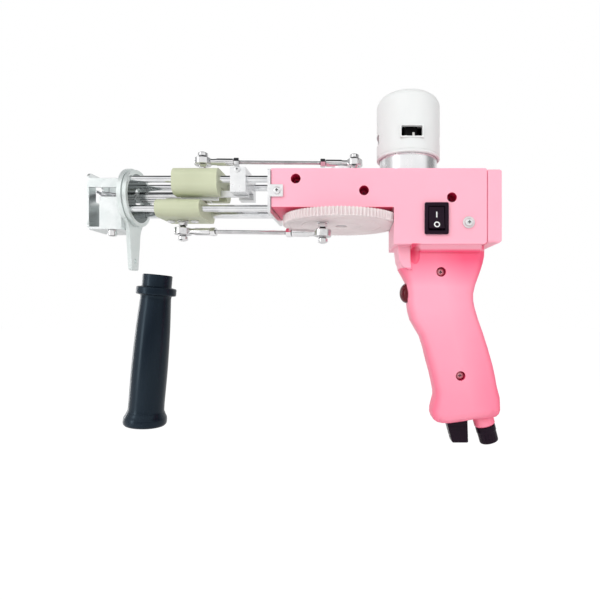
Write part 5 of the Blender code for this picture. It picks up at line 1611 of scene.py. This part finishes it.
@dataclass
class FrontTools:
    """The cutter's blades, the presser foot and the side grip."""

    bench: Bench
    bolt: Triple = (-0.2895, -0.0100, 0.0880)
    socket: Pair = (0.0820, 0.0856)
    socket_radius: float = 0.0019
    grip: Triple = (-0.2539, 0.0, 0.0495)
    grip_lean: float = math.radians(4.97)

    def build(self) -> None:
        """Build the blades, the foot and the grip."""
        for node in ("scissor_blade_fixed", "scissor_blade_moving"):
            self.bench.lay(refined(node, 0.0003), node)
        polished = Metal("polished_foot", (0.88, 0.91, 0.91), (0.74, 0.79, 0.785), 0.22, (1.0, 1.0, 0.12),
                         metallic=0.8).make()
        self.bench.lay(refined("presser_foot", 0.0005, 3), "presser_foot", look=polished)
        self._bolt()
        self._grip()

    def _bolt(self) -> None:
        """The socket head bolt under the foot."""
        profile = mm((0.0, 7.0), (1.6, 7.0), (2.0, 6.6), (2.0, -0.3), (3.8, -0.3), (3.8, -4.3), (3.4, -4.9),
                     (0.0, -4.9))
        bolt = settle(lathe("bolt", profile, self.bolt, Axis.Z, 40))
        socket = prism("socket", [ring(self.bolt[:2], self.socket_radius, 6)], *self.socket, Axis.Z)
        self.bench.lay(carve(bolt, [socket]), "foot_bolt")

    def _grip(self) -> None:
        """The rubber grip: hollow neck, collar, swelling handle and rolled foot."""
        neck = mm((0.0, -30.0), (10.5, -30.0), (10.5, -0.6), (11.0, 0.0), (11.8, 0.0), (12.4, -0.6),
                  (12.4, -10.4), (12.8, -10.8), (16.0, -11.4), (16.6, -12.0), (16.7, -12.8), (16.7, -17.0),
                  (16.5, -17.7), (16.0, -18.1), (13.4, -18.6), (12.9, -19.1))
        handle = self._swell(mm((12.8, -21.5), (14.3, -50.0), (15.1, -85.0), (15.0, -118.0), (16.0, -124.0),
                                (17.8, -127.8)), 8)
        foot = mm((18.1, -129.3), (18.2, -132.2), (17.9, -133.6), (17.0, -134.7), (16.0, -135.0),
                  (12.0, -135.0), (11.6, -134.5), (0.0, -134.5))
        tilt = Matrix.Rotation(self.grip_lean, 3, "Y")
        grip = lathe("grip", neck + handle + foot, self.grip, tilt, 96)
        self.bench.lay(settle(grip, math.radians(50)), "side_grip")

    @staticmethod
    def _swell(points: Sequence[Pair], steps: int) -> Outline:
        """Draw a smooth line through points.

        Args:
            points: The points that it passes.
            steps: Steps between two points.

        Returns:
            The line.
        """
        padded = [points[0], *points, points[-1]]
        line = []
        for index in range(len(points) - 1):
            ends = [*zip(*padded[index:index + 4])]
            for share in (step / steps for step in range(steps)):
                line.append(tuple(0.5 * (2 * b + (c - a) * share + (2 * a - 5 * b + 4 * c - d) * share ** 2
                                         + (3 * b - a - 3 * c + d) * share ** 3) for a, b, c, d in ends))
        return [*line, points[-1]]


@dataclass
class Studio:
    """A white room, soft lamps and the camera at the photograph's place."""

    camera_at: Triple = (-0.0765, -0.405, 0.0198)
    lens: float = 27.0
    sensor: float = 36.0
    shift: Pair = (-0.0917, 0.0133)
    aim: Triple = (-0.08, 0.0, 0.08)
    lamps: tuple[tuple[str, Triple, Pair, float, bool], ...] = (
        ("key", (-0.45, -0.85, 0.80), (0.9, 0.9), 7.2, False),
        ("fill", (0.75, -0.85, 0.15), (1.0, 1.0), 3.2, False),
        ("side", (1.0, -0.15, 0.25), (0.8, 0.8), 1.4, False),
        ("back", (0.1, 0.9, 0.7), (0.9, 0.9), 2.6, False),
        ("under", (-0.05, -0.35, -0.8), (0.9, 0.9), 1.3, False),
        ("strip", (-1.0, -0.68, 0.0), (0.24, 1.1), 2.4, True),
        ("rim", (-1.0, 0.42, 0.02), (0.12, 0.8), 1.3, True))
    floor_z: float = -0.19
    floor_size: float = 4.0
    floor_tone: float = 0.86
    floor_glow: float = 1.07
    room_levels: Pair = (0.30, 0.56)
    dark_room: Triple = (0.035, 0.037, 0.041)

    def build(self) -> None:
        """Build the camera, the lamps, the world and the floor."""
        scene = bpy.context.scene
        data = bpy.data.cameras.new("view")
        data.lens, data.sensor_width, data.clip_start = self.lens, self.sensor, 0.01
        data.shift_x, data.shift_y = self.shift
        scene.camera = linked("view", data)
        scene.camera.location = self.camera_at
        scene.camera.rotation_euler = (QUARTER, 0.0, 0.0)
        scene.view_settings.view_transform = "Standard"
        for name, place, size, power, in_gloss in self.lamps:
            data = bpy.data.lights.new(name, "AREA")
            data.shape, data.energy = "RECTANGLE", power
            data.size, data.size_y = size
            lamp = linked(name, data)
            lamp.location = place
            lamp.rotation_euler = (Vector(self.aim) - Vector(place)).to_track_quat("-Z", "Y").to_euler()
            lamp.visible_glossy = in_gloss
        self._world()
        self._floor()

    def _world(self) -> None:
        """White to the camera; in gloss, a white front and backdrop with a darker room between them."""
        world = bpy.data.worlds.new("room")
        bpy.context.scene.world = world
        recipe = Recipe("room", world)
        way = recipe.out("ShaderNodeTexCoord", output="Generated")
        across, depth, height = (recipe.out("ShaderNodeSeparateXYZ", {"Vector": way}, axis) for axis in "XYZ")
        camera, glossy, through = self._rays(recipe)
        front = depth.ramp(-0.20, -0.45) * height.ramp(-0.02, 0.14) * height.ramp(0.86, 0.66)
        backdrop = depth.ramp(0.35, 0.80) * 0.8
        wall = across.ramp(-0.35, -0.80) * 0.5 + across.ramp(0.45, 0.75) * 0.25
        seen = (glossy * (front + backdrop + wall) + camera + through).ramp(0.0, 1.0)
        low, high = self.room_levels
        tone = recipe.mix(height.ramp(-0.5, 0.6), (low,) * 3, (high,) * 3)
        room = recipe.out("ShaderNodeBackground", {"Color": recipe.mix(glossy, tone, self.dark_room)})
        white = recipe.out("ShaderNodeBackground", {"Color": (1.0, 1.0, 1.0, 1.0), "Strength": 1.0})
        recipe.end(recipe.out("ShaderNodeMixShader", {0: seen, 1: room, 2: white}))

    def _floor(self) -> None:
        """A pale floor that shows white to the camera, with a faint shadow left in it."""
        floor = linked("floor", bpy.data.meshes.new("floor"))
        with editing(floor.data) as work:
            bmesh.ops.create_grid(work, x_segments=2, y_segments=2, size=self.floor_size)
        floor.location.z = self.floor_z
        recipe = Recipe("pale_floor")
        camera, glossy, through = self._rays(recipe)
        diffuse = recipe.out("ShaderNodeBsdfDiffuse", {"Color": (self.floor_tone,) * 3 + (1.0,)})
        shine = recipe.out("ShaderNodeEmission", {"Color": (1.0, 1.0, 1.0, 1.0), "Strength": self.floor_glow})
        seen = camera * 0.9 + glossy * 0.12 + through * 0.9
        recipe.end(recipe.out("ShaderNodeMixShader", {0: seen, 1: diffuse, 2: shine}))
        floor.data.materials.append(recipe.block)

    @staticmethod
    def _rays(recipe: Recipe) -> Iterator[Wire]:
        """1 for a ray from the camera, for a glossy one and for one that went through."""
        return (recipe.out("ShaderNodeLightPath", output=f"Is {kind} Ray")
                for kind in ("Camera", "Glossy", "Transmission"))


def main() -> None:
    """Build every sub-assembly in order."""
    logging.basicConfig(level=logging.INFO, format="%(name)s: %(message)s")
    Studio().build()
    bench = Bench()
    bench.dress_rest()
    for part in (Shell, Controls, Motor, GearDrive, FrontFrame, Drive, FrontTools):
        part(bench).build()
        log.info("built %s", part.__name__)
    log.info("%d pieces in all", bench.laid)


if __name__ == "__main__":
    main()
